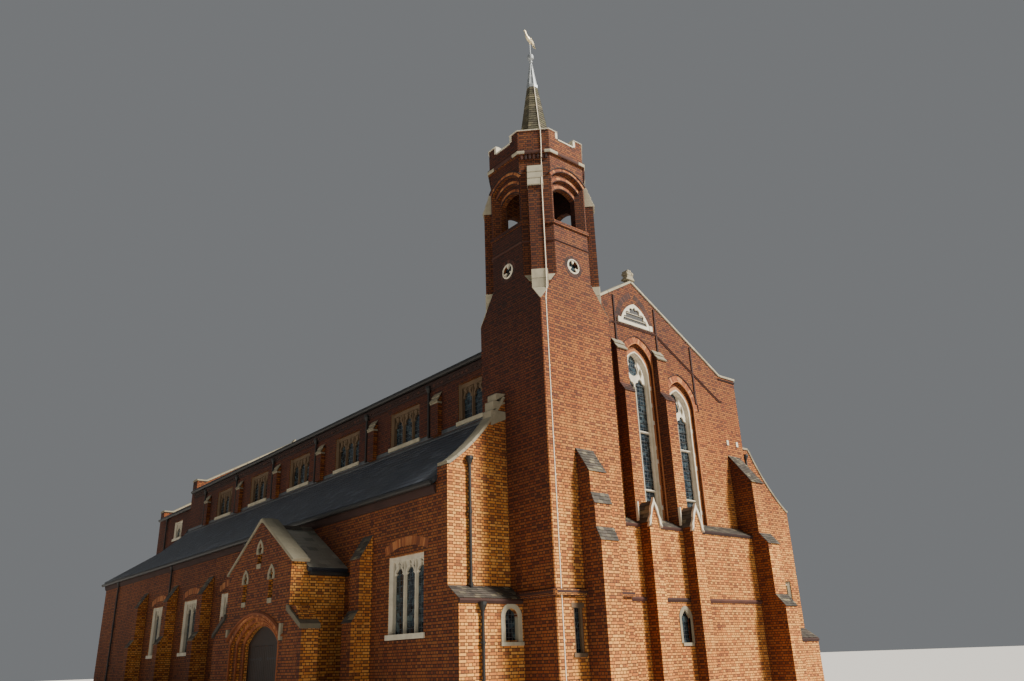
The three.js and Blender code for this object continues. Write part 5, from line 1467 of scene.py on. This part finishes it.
class CHURCH_OT_aisle_fronts(bpy.types.Operator):
    """Dress the west walls of both aisles: copings, strings, windows and pipes"""

    bl_idname = "church.aisle_fronts"
    bl_label = "Aisle west walls"

    def execute(self, context):
        sizes = context.scene.church_sizes
        stone, copings, string, glass, lead, pipes, weatherings = starts(7)
        profile = [(0.0, 0.03), (0.05, 0.04), (0.08, 0.02), (0.09, -0.2), (0.08, -0.4), (0.05, -0.41),
                   (0.0, -0.4)]
        front, low_front = AISLE_FRONT, AISLE_FRONT - 0.45
        for side in (-1, 1):
            # The coping sweeps down in a curve and ends level
            bend = []
            for t in (i / 8 for i in range(9)):
                x = (1 - t) ** 2 * 5.77 + 2 * t * (1 - t) * 6.6 + t * t * 7.71
                z = (1 - t) ** 2 * 8.5 + 2 * t * (1 - t) * 7.15 + t * t * 6.38
                bend.append((side * x, front, z + 0.002))
            bend.append((side * 7.8, front, 6.382))
            # Each run goes towards -x, so that its top is up
            for pair in zip(bend, bend[1:]):
                stones(copings, *pair[::-side], profile, WEST_UP, 1.0)
        # The upright stones that end the left coping against the tower
        for low, high, out in ((7.62, 8.08, 6.3), (8.086, 8.36, 6.22), (8.366, 8.58, 6.12)):
            outline = ((-5.775, low + 0.25), (-5.775, high), (0.02 - out, high), (-out, high - 0.03),
                       (-out, low))
            hull(copings, [(x, y, z) for y in (front - 0.03, front + 0.34) for x, z in outline])
        stones(copings, (5.78, front, 8.502), (5.36, front, 8.502), profile, WEST_UP, 1.0)
        for wide, foot in (((-7.78, -5.78), 3.04), ((5.36, 7.78), 1.99)):
            tiled(weatherings, sizes, wide, (front - 0.46, foot), (front, foot + 0.32))
        band(string, (-7.77, -5.78), low_front, 2.98, LEDGE_STRING)
        band(string, (5.36, 7.77), low_front, 1.93, LEDGE_STRING)
        # Left: a small round-headed light in the low stage
        light = start()
        arc(light, [(0.0, -0.02), (0.13, -0.02), (0.13, 0.06), (0.0, 0.125)], (0.0, 2.6), 0.208, 0.0, math.pi,
            14, 0.9)
        for side in (-1, 1):
            block(light, sorted((side * 0.208, side * 0.338)), (-0.02, 0.125), (2.02, 2.597), 0.9)
        block(light, (-0.36, 0.36), (-0.05, 0.08), (1.93, 2.02), 0.8)
        at = Matrix.Translation((-6.15, low_front, 0))
        stamp(stone, light, [at])
        glaze(glass, lead, at, (-0.21, 0.21), (2.02, 2.81), 0.12, 4, 7, lead_z=(2.02, 2.78))
        # Right: a square-headed window of two lights
        square_window(stone, stone, glass, lead, 0.4, 2.15, 3.9, 2, Matrix.Translation((6.9, front, 0)))
        downpipe(pipes, -7.1, front, 6.45, 3.3)
        downpipe(pipes, -7.1, low_front, 2.75)
        downpipe(pipes, 5.5, front, 8.1, 2.4)
        piece("aisle_front_stones", stone, "coping", bevel=0.006)
        piece("aisle_front_copings", copings, "dull_stone", bevel=0.006)
        piece("aisle_front_strings", string, "dark_brick")
        piece("aisle_front_weatherings", weatherings, "brown_tile")
        piece("aisle_front_glass", glass, "glass")
        piece("aisle_front_leading", lead, "came")
        piece("west_rainwater_pipes", pipes, "iron")
        return {"FINISHED"}


class CHURCH_OT_clerestory(bpy.types.Operator):
    """Build the clerestory windows, pilaster caps, corbel course and flashings"""

    bl_idname = "church.clerestory"
    bl_label = "Clerestory"

    def execute(self, context):
        stone, sills, glass, lead, caps, corbels, pipes, flashing = starts(8)
        end, gutter_out, gutter_level = NAVE_END - 0.62, NAVE_HALF + 0.15, NAVE_EAVES - 0.08
        course = [(-0.02, 9.95), (0.03, 9.95), (0.035, 10.02), (0.06, 10.03), (0.07, 10.1), (0.095, 10.11),
                  (0.1, 10.2), (-0.02, 10.2)]
        string = [(-0.02, 8.22), (0.02, 8.22), (0.05, 8.26), (0.05, 8.3), (-0.02, 8.36)]
        stepped = [(0.001, 8.3), (0.16, 8.16), (0.17, 8.18), (0.012, 8.33), (0.008, 8.46), (0.001, 8.46)]
        # On the left the tower covers the start of the wall and the edge of its first window
        walls = ((NORTH, -1, 1.2, 1.16, 1.2), (SOUTH, 1, 0.62, 0.62, 0.6))
        for side, sign, start_y, gutter_y, lead_y in walls:
            windows = [(0.9, y) for y in WINDOW_MIDDLES]
            if sign < 0:
                windows[0] = (0.845, 2.055)
            for half, middle in windows:
                square_window(stone, sills, glass, lead, half, 8.5, 9.75, 3,
                              facing(side, sign * NAVE_HALF, middle))
            for y in PIER_MIDDLES:
                cap = start()
                sloped(cap, (-0.22, 0.22), (-0.185, 9.43), (0.0, 9.77), 0.2, 2.0, 0.04)
                block(cap, (-0.22, 0.22), (-0.18, 0.0), (9.37, 9.43), 0.6)
                stamp(caps, cap, [facing(side, sign * NAVE_HALF, y)])
            moulding(corbels, side_run(sign, NAVE_HALF, start_y, end), course)
            moulding(corbels, side_run(sign, NAVE_HALF, start_y, end), string)
            # Brick teeth under the corbel course, one to each brick length
            teeth = start()
            reach, pitch = end - 0.62 - start_y, 0.225
            for i in range(int(reach / pitch)):
                u = 0.1 - reach / 2 + i * pitch
                block(teeth, (u, u + 0.11), (-0.075, 0.02), (10.02, 10.1))
            stamp(corbels, teeth, [facing(side, sign * NAVE_HALF, (start_y + end) / 2)])
            moulding(pipes, side_run(sign, gutter_out, gutter_y, end, gutter_level), GUTTER)
            for y in PIER_MIDDLES:
                downpipe(pipes, sign * NAVE_HALF, y + 0.44, 9.9, 8.35, out=(sign, 0.0))
            # Stepped lead where the aisle roof meets the wall
            moulding(flashing, side_run(sign, NAVE_HALF, lead_y, NAVE_END), stepped)
        piece("clerestory_window_stone", stone, "brown_stone", bevel=0.004)
        piece("clerestory_sills", sills, "coping", bevel=0.004)
        piece("clerestory_window_panes", glass, "glass")
        piece("clerestory_window_leading", lead, "came")
        piece("clerestory_caps", caps, "dull_stone", bevel=0.006)
        piece("clerestory_corbels", corbels, "dark_brick")
        piece("nave_gutters", pipes, "iron")
        piece("aisle_flashings", flashing, "came")
        return {"FINISHED"}


class CHURCH_OT_roofs(bpy.types.Operator):
    """Lay the slates, the ridges and the gutters, and set the east copings"""

    bl_idname = "church.roofs"
    bl_label = "Roofs"

    def execute(self, context):
        sizes = context.scene.church_sizes
        courses = (sizes.slate_gauge, sizes.slate_width, SLATE_THICK)
        nave, sides, ridges, gutters = starts(4)
        # Nave and chancel: two slopes under one ridge; the tower covers the foot of the left nave slope
        for eaves, half, right_y, left_y, ridge_y, is_chancel in (
            (NAVE_EAVES, NAVE_HALF, (0.66, NAVE_END - 0.62), (1.16, NAVE_END - 0.62), (0.66, NAVE_END - 0.61),
             False),
            (CHANCEL_EAVES, CHANCEL_HALF, (NAVE_END + 0.005, CHANCEL_END - 0.56),
             (NAVE_END + 0.005, CHANCEL_END - 0.56), (NAVE_END + 0.01, CHANCEL_END - 0.56), True),
        ):
            top, foot_x = eaves + NAVE_PITCH * half + ROOF_DEEP, half + 0.17
            for sign, y in ((1, right_y), (-1, left_y)):
                foot = (sign * foot_x, top - NAVE_PITCH * foot_x)
                roof_side(nave, sign, y, foot, (0.0, top), *courses)
                if is_chancel:
                    moulding(gutters, side_run(sign, half + 0.15, *ridge_y, eaves - 0.08), GUTTER)
                    downpipe(gutters, sign * half, 31.6, 9.6, out=(sign, 0.0))
            stones(ridges, (0, ridge_y[0], top + 0.02), (0, ridge_y[1], top + 0.02), RIDGE, (0, 0, 1), 0.45)
        foot_x = AISLE_HALF + 0.15
        level = AISLE_EAVES + ROOF_DEEP
        slope = (AISLE_ROOF_TOP - level) / (AISLE_HALF - NAVE_HALF)
        aisle_foot = AISLE_ROOF_TOP - slope * (foot_x - NAVE_HALF)
        chapel_slope = (CHAPEL_ROOF_TOP - level) / (AISLE_HALF - CHANCEL_HALF)
        chapel_foot = CHAPEL_ROOF_TOP - chapel_slope * (foot_x - CHANCEL_HALF)
        tower_x, tower_y = 5.775, 1.153
        for sign in (1, -1):
            first = 0.565
            if sign < 0:
                # The tower stands in the corner of the left slope
                corner = (-tower_x, AISLE_ROOF_TOP - slope * (tower_x - NAVE_HALF))
                roof_side(sides, -1, (first, tower_y), (-foot_x, aisle_foot), corner, *courses)
                first = tower_y + 0.004
            top = (sign * (NAVE_HALF + 0.003), AISLE_ROOF_TOP)
            roof_side(sides, sign, (first, NAVE_END + 0.03), (sign * foot_x, aisle_foot), top, *courses)
            top = (sign * (CHANCEL_HALF + 0.003), CHAPEL_ROOF_TOP)
            roof_side(sides, sign, (NAVE_END + 0.01, AISLE_END + 0.035), (sign * foot_x, chapel_foot), top,
                      *courses)
            # On the left the gutter is made of two runs that meet beside the porch
            stops = [0.57, AISLE_END + 0.03] if sign > 0 else [0.57, PORCH_AXIS - 2.5, AISLE_END + 0.03]
            for run in zip(stops, stops[1:]):
                moulding(gutters, side_run(sign, AISLE_HALF + 0.13, *run, AISLE_EAVES - 0.09), GUTTER)
            for y in (12.6, 20.6, 28.5):
                downpipe(gutters, sign * AISLE_HALF, y, 5.75, out=(sign, 0.0))
        piece("nave_slates", nave, "slate")
        piece("aisle_slates", sides, "slate")
        piece("ridge_tiles", ridges, "brown_tile")
        piece("aisle_gutters", gutters, "iron")

        # Stone copings over the east gables of the nave and the chancel
        bm = start()
        section = [(0.0, 0.035), (0.05, 0.04), (0.085, 0.02), (0.115, -0.3), (0.085, -0.62), (0.05, -0.64),
                   (0.0, -0.635)]
        for half, shoulder, apex, y in (
            (NAVE_HALF, 10.9, GABLE_APEX, NAVE_END - 0.6),
            (CHANCEL_HALF, 10.3, 12.85, CHANCEL_END - 0.58),
        ):
            out, inner = half + 0.03, half - 0.5
            line = [(out, shoulder), (inner, shoulder), (0.0, apex), (-inner, shoulder), (-out, shoulder)]
            for (u, v), (next_u, next_v) in zip(line, line[1:]):
                stones(bm, (u, y, v + 0.001), (next_u, y, next_v + 0.001), section, WEST_UP,
                       sizes.coping_length)
            finial = ((-0.2, apex - 0.05), (0.2, apex - 0.05), (0.0, apex + 0.24))
            hull(bm, [(x, v, z) for v in (y + 0.12, y + 0.46) for x, z in finial])
        piece("east_copings", bm, "dull_stone", bevel=0.008)
        return {"FINISHED"}


class CHURCH_OT_porch(bpy.types.Operator):
    """Build the porch's arch rings, hood, lancets, niche, coping and slates"""

    bl_idname = "church.porch"
    bl_label = "Porch"

    def execute(self, context):
        sizes = context.scene.church_sizes
        bricks, stone, dark, glass, lead, rings, trims = starts(7)
        at = facing(NORTH, PORCH_FRONT, PORCH_AXIS)
        orders = ((1.7, 0.73, 0.0, 0.13), (1.45, 0.61, 0.12, 0.2), (1.2, 0.5, 0.24, 0.2))
        for half, rise, depth, thick in orders:
            radius, centre, ends = segment(half, rise, 2.3)
            brick_ring(rings, centre, radius + 0.003, *ends, thick, (depth - FLUSH, depth + 0.1))
            roll = [(-0.01, depth - 0.012), (0.02, depth - 0.018), (0.035, depth), (0.035, depth + 0.03),
                    (0.0, depth + 0.045)]
            arc(rings, roll, centre, radius, *ends, 18, 0.4)
            for side in (-1, 1):
                outline = [(side * (half + out), y) for out, y in roll]
                prism(rings, outline, 0.1, 2.3, "xy", 0.4)
        radius, centre, ends = segment(1.94, 0.7, 2.4)
        hood = [(0.0, -0.002), (0.01, -0.05), (0.05, -0.07), (0.09, -0.03), (0.1, -0.002), (0.1, 0.02),
                (0.0, 0.02)]
        arc(rings, hood, centre, radius, *ends, 20, 0.2)
        # Corbels at the ends of the hood; the right one reaches lower
        for side, low in ((-1, 2.55), (1, 2.33)):
            block(trims, sorted((side * 1.84, side * 1.96)), (-0.08, 0.03), (low, 2.77), 0.6)
        stamp(bricks, rings, [at])
        # Lancets and niche: a foiled head cut from one stone and a short sill stone, with brick jambs
        for middle, foot, spring in ((-0.93, 3.5, 4.14), (0.93, 3.5, 4.14), (0.0, 4.55, 4.95)):
            low = spring - 0.1
            edge = foils(middle, [(0, low, 0), (0.24, low, 0), (0.24, spring + 0.08, 0.03),
                                  (0, spring + 0.34, 0)])
            hole = foils(middle, [(0, low + 0.01, 0), (0.1, low + 0.01, 0), (0.09, spring - 0.02, 0.05),
                                  (0.07, spring + 0.11, 0.03), (0, spring + 0.22, 0)])
            pierced(trims, [edge, hole], -0.02, 0.04, 0.5)
            block(trims, (middle - 0.14, middle + 0.14), (-0.025, 0.1), (foot - 0.13, foot + 0.01), 0.7)
            wide = (middle - 0.15, middle + 0.15)
            glaze(glass, lead, at, wide, (foot, spring + 0.17), 0.2, 3, 6, lead_z=(foot, spring + 0.06))
        apex = PORCH_RIDGE + 0.301
        half = PORCH_HALF + 0.1
        foot = apex - (PORCH_PITCH + 0.05 / PORCH_HALF) * half
        section = [(0.0, 0.045), (0.05, 0.05), (0.085, 0.035), (0.11, -0.225), (0.085, -0.49), (0.05, -0.5),
                   (0.0, -0.495)]
        stones(trims, (half, 0, foot), (0.0, 0, apex), section, WEST_UP, 0.62)
        stones(trims, (0.0, 0, apex), (-half, 0, foot), section, WEST_UP, 0.62)
        crown = ((-0.13, apex - 0.06), (0.13, apex - 0.06), (-0.1, apex + 0.02), (0.1, apex + 0.02),
                 (0.0, apex + 0.06))
        hull(trims, [(x, y, z) for y in (-0.045, 0.4) for x, z in crown])
        stamp(stone, trims, [at])
        # One sloping slab on each shoulder
        for side in (-1, 1):
            slab = start()
            outline = ((2.2, 3.1), (2.2, 3.25), (3.14, 2.57), (3.14, 2.7))
            hull(slab, [(side * u, y, z) for y in (-0.07, 0.53) for u, z in outline])
            stamp(dark, slab, [at])
        piece("porch_arch_bricks", bricks, "arch_brick")
        coping = piece("porch_stones", stone, "dull_stone", bevel=0.006)
        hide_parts("porch_coping")
        piece("porch_weatherings", dark, "brown_tile")
        piece("porch_window_glass", glass, "glass")
        piece("porch_window_leading", lead, "came")

        slates, ridge, pipes = starts(3)
        top = PORCH_RIDGE + 0.14
        out = PORCH_HALF + 0.14
        low = top - PORCH_PITCH * out
        back, near = -AISLE_HALF - 0.002, PORCH_FRONT + 0.46
        for side, (first, last) in ((-1, (near, back)), (1, (back, near))):
            foot_y = PORCH_AXIS + side * out
            slope = [(first, foot_y, low), (last, foot_y, low), (last, PORCH_AXIS, top),
                     (first, PORCH_AXIS, top)]
            lay(slates, slope, sizes.slate_gauge, sizes.slate_width, SLATE_THICK)
        stones(ridge, (near, PORCH_AXIS, top + 0.02), (back, PORCH_AXIS, top + 0.02), RIDGE, (0, 0, 1), 0.45)
        for side, (first, last) in ((-1, (near, back - 0.01)), (1, (back - 0.01, near))):
            y, z = PORCH_AXIS + side * (PORCH_HALF + 0.12), PORCH_EAVES - 0.12
            moulding(pipes, [(first, y, z), (last, y, z)], GUTTER)
        piece("porch_slates", slates, "old_slate")
        piece("porch_ridge", ridge, "brown_tile")
        piece("porch_gutters", pipes, "iron")
        return {"FINISHED"}


class CHURCH_OT_doors(bpy.types.Operator):
    """Board the two doors and fit their iron straps, studs and rings"""

    bl_idname = "church.doors"
    bl_label = "Porch doors"

    def execute(self, context):
        face, foot, head = -9.08, 0.112, 2.232
        inner, outer, count = 0.006, 1.1305, 9
        for side, body, name in ((1, "door_left", "left"), (-1, "door_right", "right")):
            boards, iron, ring = starts(3)

            def across(u):
                return PORCH_AXIS + side * u

            for i in range(count):
                low, high = (inner + (outer - inner) * k / count for k in (i, i + 1))

                def place(right, back, top):
                    margin = (0.01 if back else 0.06) * (high - low)
                    share = high - margin if right else low + margin
                    return Vector((face + (0.0 if back else -0.006), across(share), head if top else foot))

                shaped(boards, place)
            # Two tapering straps with pointed ends and eight studs each
            plate = (face - 0.01, face - 0.005)
            for z in (0.48, 1.88):
                for first, last, high in ((1.12, 0.7, 0.055), (0.7, 0.3, 0.04)):
                    block(iron, plate, sorted((across(first), across(last))), (z - high / 2, z + high / 2))
                tip = ((0.3, z - 0.035), (0.3, z + 0.035), (0.22, z - 0.05), (0.22, z + 0.05), (0.16, z))
                hull(iron, [(x, across(u), v) for x in plate for u, v in tip])
                for k in range(8):
                    y = across(1.06 - 0.11 * k)
                    rod(iron, (face - 0.008, y, z), (face - 0.016, y, z), 0.013, 8, 0.007)
            # The ring on its rose
            wire = [(-0.007, -0.007), (0.007, -0.007), (0.007, 0.007), (-0.007, 0.007)]
            arc(ring, wire, (0.0, 1.1), 0.05, 0.0, 2 * math.pi, 20)
            stamp(iron, ring, [facing(NORTH, face - 0.03, across(0.12))])
            for out, radius, segments in ((0.04, 0.012, 8), (0.009, 0.04, 16)):
                root, tip = (face - 0.004, across(0.12), 1.15), (face - out, across(0.12), 1.15)
                rod(iron, root, tip, radius, segments)
            piece(f"door_boards_{name}", boards, "oak", body=body)
            piece(f"door_iron_{name}", iron, "iron", body=body, bevel=0.001)
        return {"FINISHED"}


class CHURCH_OT_sides(bpy.types.Operator):
    """Build the windows and weatherings of the aisles, the chancel and the east wall"""

    bl_idname = "church.sides"
    bl_label = "Aisle and chancel walls"

    def execute(self, context):
        sizes = context.scene.church_sizes
        stone, glass, lead, weatherings, strings, arches = starts(6)
        plinth = [(-0.02, 0.78), (0.05, 0.78), (0.055, 0.84), (0.0, 0.9), (-0.02, 0.9)]
        cornice = [(-0.02, 5.7), (0.03, 5.7), (0.06, 5.75), (0.09, 5.86), (0.09, 5.93), (-0.02, 5.93)]
        radius, centre, ends = segment(1.0, 0.18, 4.36)
        for side, sign in ((NORTH, -1), (SOUTH, 1)):
            # The porch stands in front of two windows and one buttress on the left
            windows = WINDOW_MIDDLES if sign > 0 else [WINDOW_MIDDLES[i] for i in (0, 3, 4, 5)]
            piers = [y for y in PIER_MIDDLES if sign > 0 or abs(y - PORCH_AXIS) > PORCH_HALF + 0.5]
            for y in windows:
                place = facing(side, sign * AISLE_HALF, y)
                square_window(stone, stone, glass, lead, 0.85, 2.3, 4.3, 3, place)
                part = start()
                brick_ring(part, centre, radius, *ends, 0.225, (-FLUSH, 0.05))
                stamp(arches, part, [place])
            for y in piers:
                part = start()
                tiled(part, sizes, (-0.28, 0.28), (-0.615, 2.68), (-0.39, 3.02))
                tiled(part, sizes, (-0.28, 0.28), (-0.415, 4.37), (0.0, 5.04))
                stamp(weatherings, part, [facing(side, sign * AISLE_HALF, y)])
            square_window(stone, stone, glass, lead, 0.64, 8.45, 9.4, 2,
                          facing(side, sign * CHANCEL_HALF, 29.81))
            # Plinth ledge between the aisle buttresses
            first = 0.56 if sign > 0 else PORCH_AXIS + PORCH_HALF
            stops = [first] + [v for y in piers for v in (y - 0.265, y + 0.265)] + [AISLE_END]
            for low, high in zip(stops[::2], stops[1::2]):
                if high - low > 0.3:
                    moulding(strings, side_run(sign, AISLE_HALF, low, high), plinth)
            moulding(strings, side_run(sign, AISLE_HALF, 0.6, AISLE_END), cornice)
        # Three tall east lights
        east = facing(EAST, 0.0, CHANCEL_END)
        part, panes, cames = starts(3)
        surround = [(0.0, 0.03), (0.02, -0.005), (0.11, -0.03), (0.15, -0.005), (0.15, 0.05), (0.0, 0.3)]
        inner = [(-0.09, 0.2), (0.0, 0.12), (0.005, 0.12), (0.005, 0.3), (-0.09, 0.3)]
        for x in (-1.5, 0.0, 1.5):
            spring = 6.9 - abs(x) * 0.5
            pointed_moulding(part, surround, x, 0.45, spring, 0.9, foot=3.2)
            pointed_moulding(part, inner, x, 0.45, spring, 0.9, foot=3.2)
            cusps(part, x, 0.36, spring, 0.76, (0.21, 0.29), 0.12, 0.16)
            block(part, (x - 0.62, x + 0.62), (-0.06, 0.3), (3.08, 3.22), 0.6)
            block(panes, (x - 0.45, x + 0.45), (0.26, 0.26 + PANE), (3.2, spring + 0.82))
            leading(cames, (x - 0.36, x + 0.36), (3.2, spring + 0.3), 0.258, 6, 26)
            bricks = start()
            pointed_bricks(bricks, x, 0.602, spring, 1.06, 0.225, (-FLUSH, 0.05))
            stamp(arches, bricks, [east])
        for mesh, made in ((stone, part), (glass, panes), (lead, cames)):
            stamp(mesh, made, [east])
        moulding(strings, [(CHANCEL_HALF, CHANCEL_END, 2.9), (-CHANCEL_HALF, CHANCEL_END, 2.9)],
                 [(-0.05, -0.01), (0.05, -0.01), (0.04, 0.05), (-0.02, 0.07), (-0.05, 0.03)], up=(0, 1, 0))
        piece("side_window_stone", stone, "stone", bevel=0.004)
        piece("side_window_panes", glass, "glass")
        piece("side_window_leading", lead, "came")
        piece("side_buttress_weatherings", weatherings, "brown_tile")
        piece("side_strings", strings, "dark_brick")
        piece("side_window_arches", arches, "arch_brick")
        return {"FINISHED"}


class CHURCH_OT_stage(bpy.types.Operator):
    """Set up the pale floor, the soft light and the camera"""

    bl_idname = "church.stage"
    bl_label = "Stage"

    def execute(self, context):
        scene = context.scene
        sizes, colours = scene.church_sizes, scene.church_colours
        bm = bmesh.new()
        bmesh.ops.create_grid(bm, x_segments=1, y_segments=1, size=400.0)
        bmesh.ops.translate(bm, vec=(0, 0, -0.004), verts=bm.verts)
        mesh = bpy.data.meshes.new("studio_floor")
        bm.to_mesh(mesh)
        bm.free()
        material = bpy.data.materials.new("matt_paper_floor")
        material.use_nodes = True
        shader = material.node_tree.nodes["Principled BSDF"]
        shader.inputs["Base Color"].default_value = colours.floor
        shader.inputs["Roughness"].default_value = 0.9
        mesh.materials.append(material)
        floor = bpy.data.objects.new("studio_floor", mesh)
        scene.collection.objects.link(floor)

        world = bpy.data.worlds.new("soft_box")
        world.use_nodes = True
        background = world.node_tree.nodes["Background"]
        background.inputs["Color"].default_value = linear("#EDF1F5")
        background.inputs["Strength"].default_value = sizes.sky_strength
        scene.world = world

        light = bpy.data.lights.new("key", "SUN")
        light.energy = sizes.sun_strength
        light.angle = math.radians(12)
        light.color = (1.0, 0.95, 0.87)
        key = bpy.data.objects.new("key", light)
        key.rotation_euler = Vector((-0.40, 0.72, -0.62)).to_track_quat("-Z", "Y").to_euler()
        scene.collection.objects.link(key)

        yaw, pitch, roll = 0.705179, 0.377104, -0.0359164
        ahead = Vector((math.sin(yaw) * math.cos(pitch), math.cos(yaw) * math.cos(pitch), math.sin(pitch)))
        level = Vector((math.cos(yaw), -math.sin(yaw), 0.0))
        above = level.cross(ahead)
        right = level * math.cos(roll) + above * math.sin(roll)
        upward = above * math.cos(roll) - level * math.sin(roll)
        camera_data = bpy.data.cameras.new("camera")
        camera_data.sensor_width = 36.0
        camera_data.lens = 36.0 * 806.9 / 1024
        camera_data.clip_end = 1000.0
        camera = bpy.data.objects.new("camera", camera_data)
        turn = Matrix((right, upward, -ahead)).transposed().to_4x4()
        camera.matrix_world = Matrix.Translation((-19.138, -32.086, 1.6)) @ turn
        scene.collection.objects.link(camera)
        scene.camera = camera
        return {"FINISHED"}


OPERATORS = [
    CHURCH_OT_materials,
    CHURCH_OT_tower_stone,
    CHURCH_OT_belfry,
    CHURCH_OT_spire,
    CHURCH_OT_vane,
    CHURCH_OT_conductor,
    CHURCH_OT_gable,
    CHURCH_OT_west_windows,
    CHURCH_OT_west_buttresses,
    CHURCH_OT_aisle_fronts,
    CHURCH_OT_clerestory,
    CHURCH_OT_roofs,
    CHURCH_OT_porch,
    CHURCH_OT_doors,
    CHURCH_OT_sides,
    CHURCH_OT_stage,
]


class CHURCH_PT_panel(bpy.types.Panel):
    """Lists the sizes, the colours and the steps that build the church"""

    bl_idname = "CHURCH_PT_panel"
    bl_label = "Brick church"
    bl_space_type = "VIEW_3D"
    bl_region_type = "UI"
    bl_category = "Church"

    def draw(self, context):
        for group in (context.scene.church_sizes, context.scene.church_colours):
            column = self.layout.column(align=True)
            for name in group.bl_rna.properties.keys():
                if name not in ("rna_type", "name"):
                    column.prop(group, name)
        for operator in OPERATORS:
            self.layout.operator(operator.bl_idname)


CLASSES = [ChurchSizes, ChurchColours, *OPERATORS, CHURCH_PT_panel]


def register():
    for item in CLASSES:
        bpy.utils.register_class(item)
    bpy.types.Scene.church_sizes = bpy.props.PointerProperty(type=ChurchSizes)
    bpy.types.Scene.church_colours = bpy.props.PointerProperty(type=ChurchColours)


def unregister():
    del bpy.types.Scene.church_colours
    del bpy.types.Scene.church_sizes
    for item in reversed(CLASSES):
        bpy.utils.unregister_class(item)


def main():
    register()
    for operator in OPERATORS:
        group, name = operator.bl_idname.split(".")
        getattr(getattr(bpy.ops, group), name)()


if __name__ == "__main__":
    main()
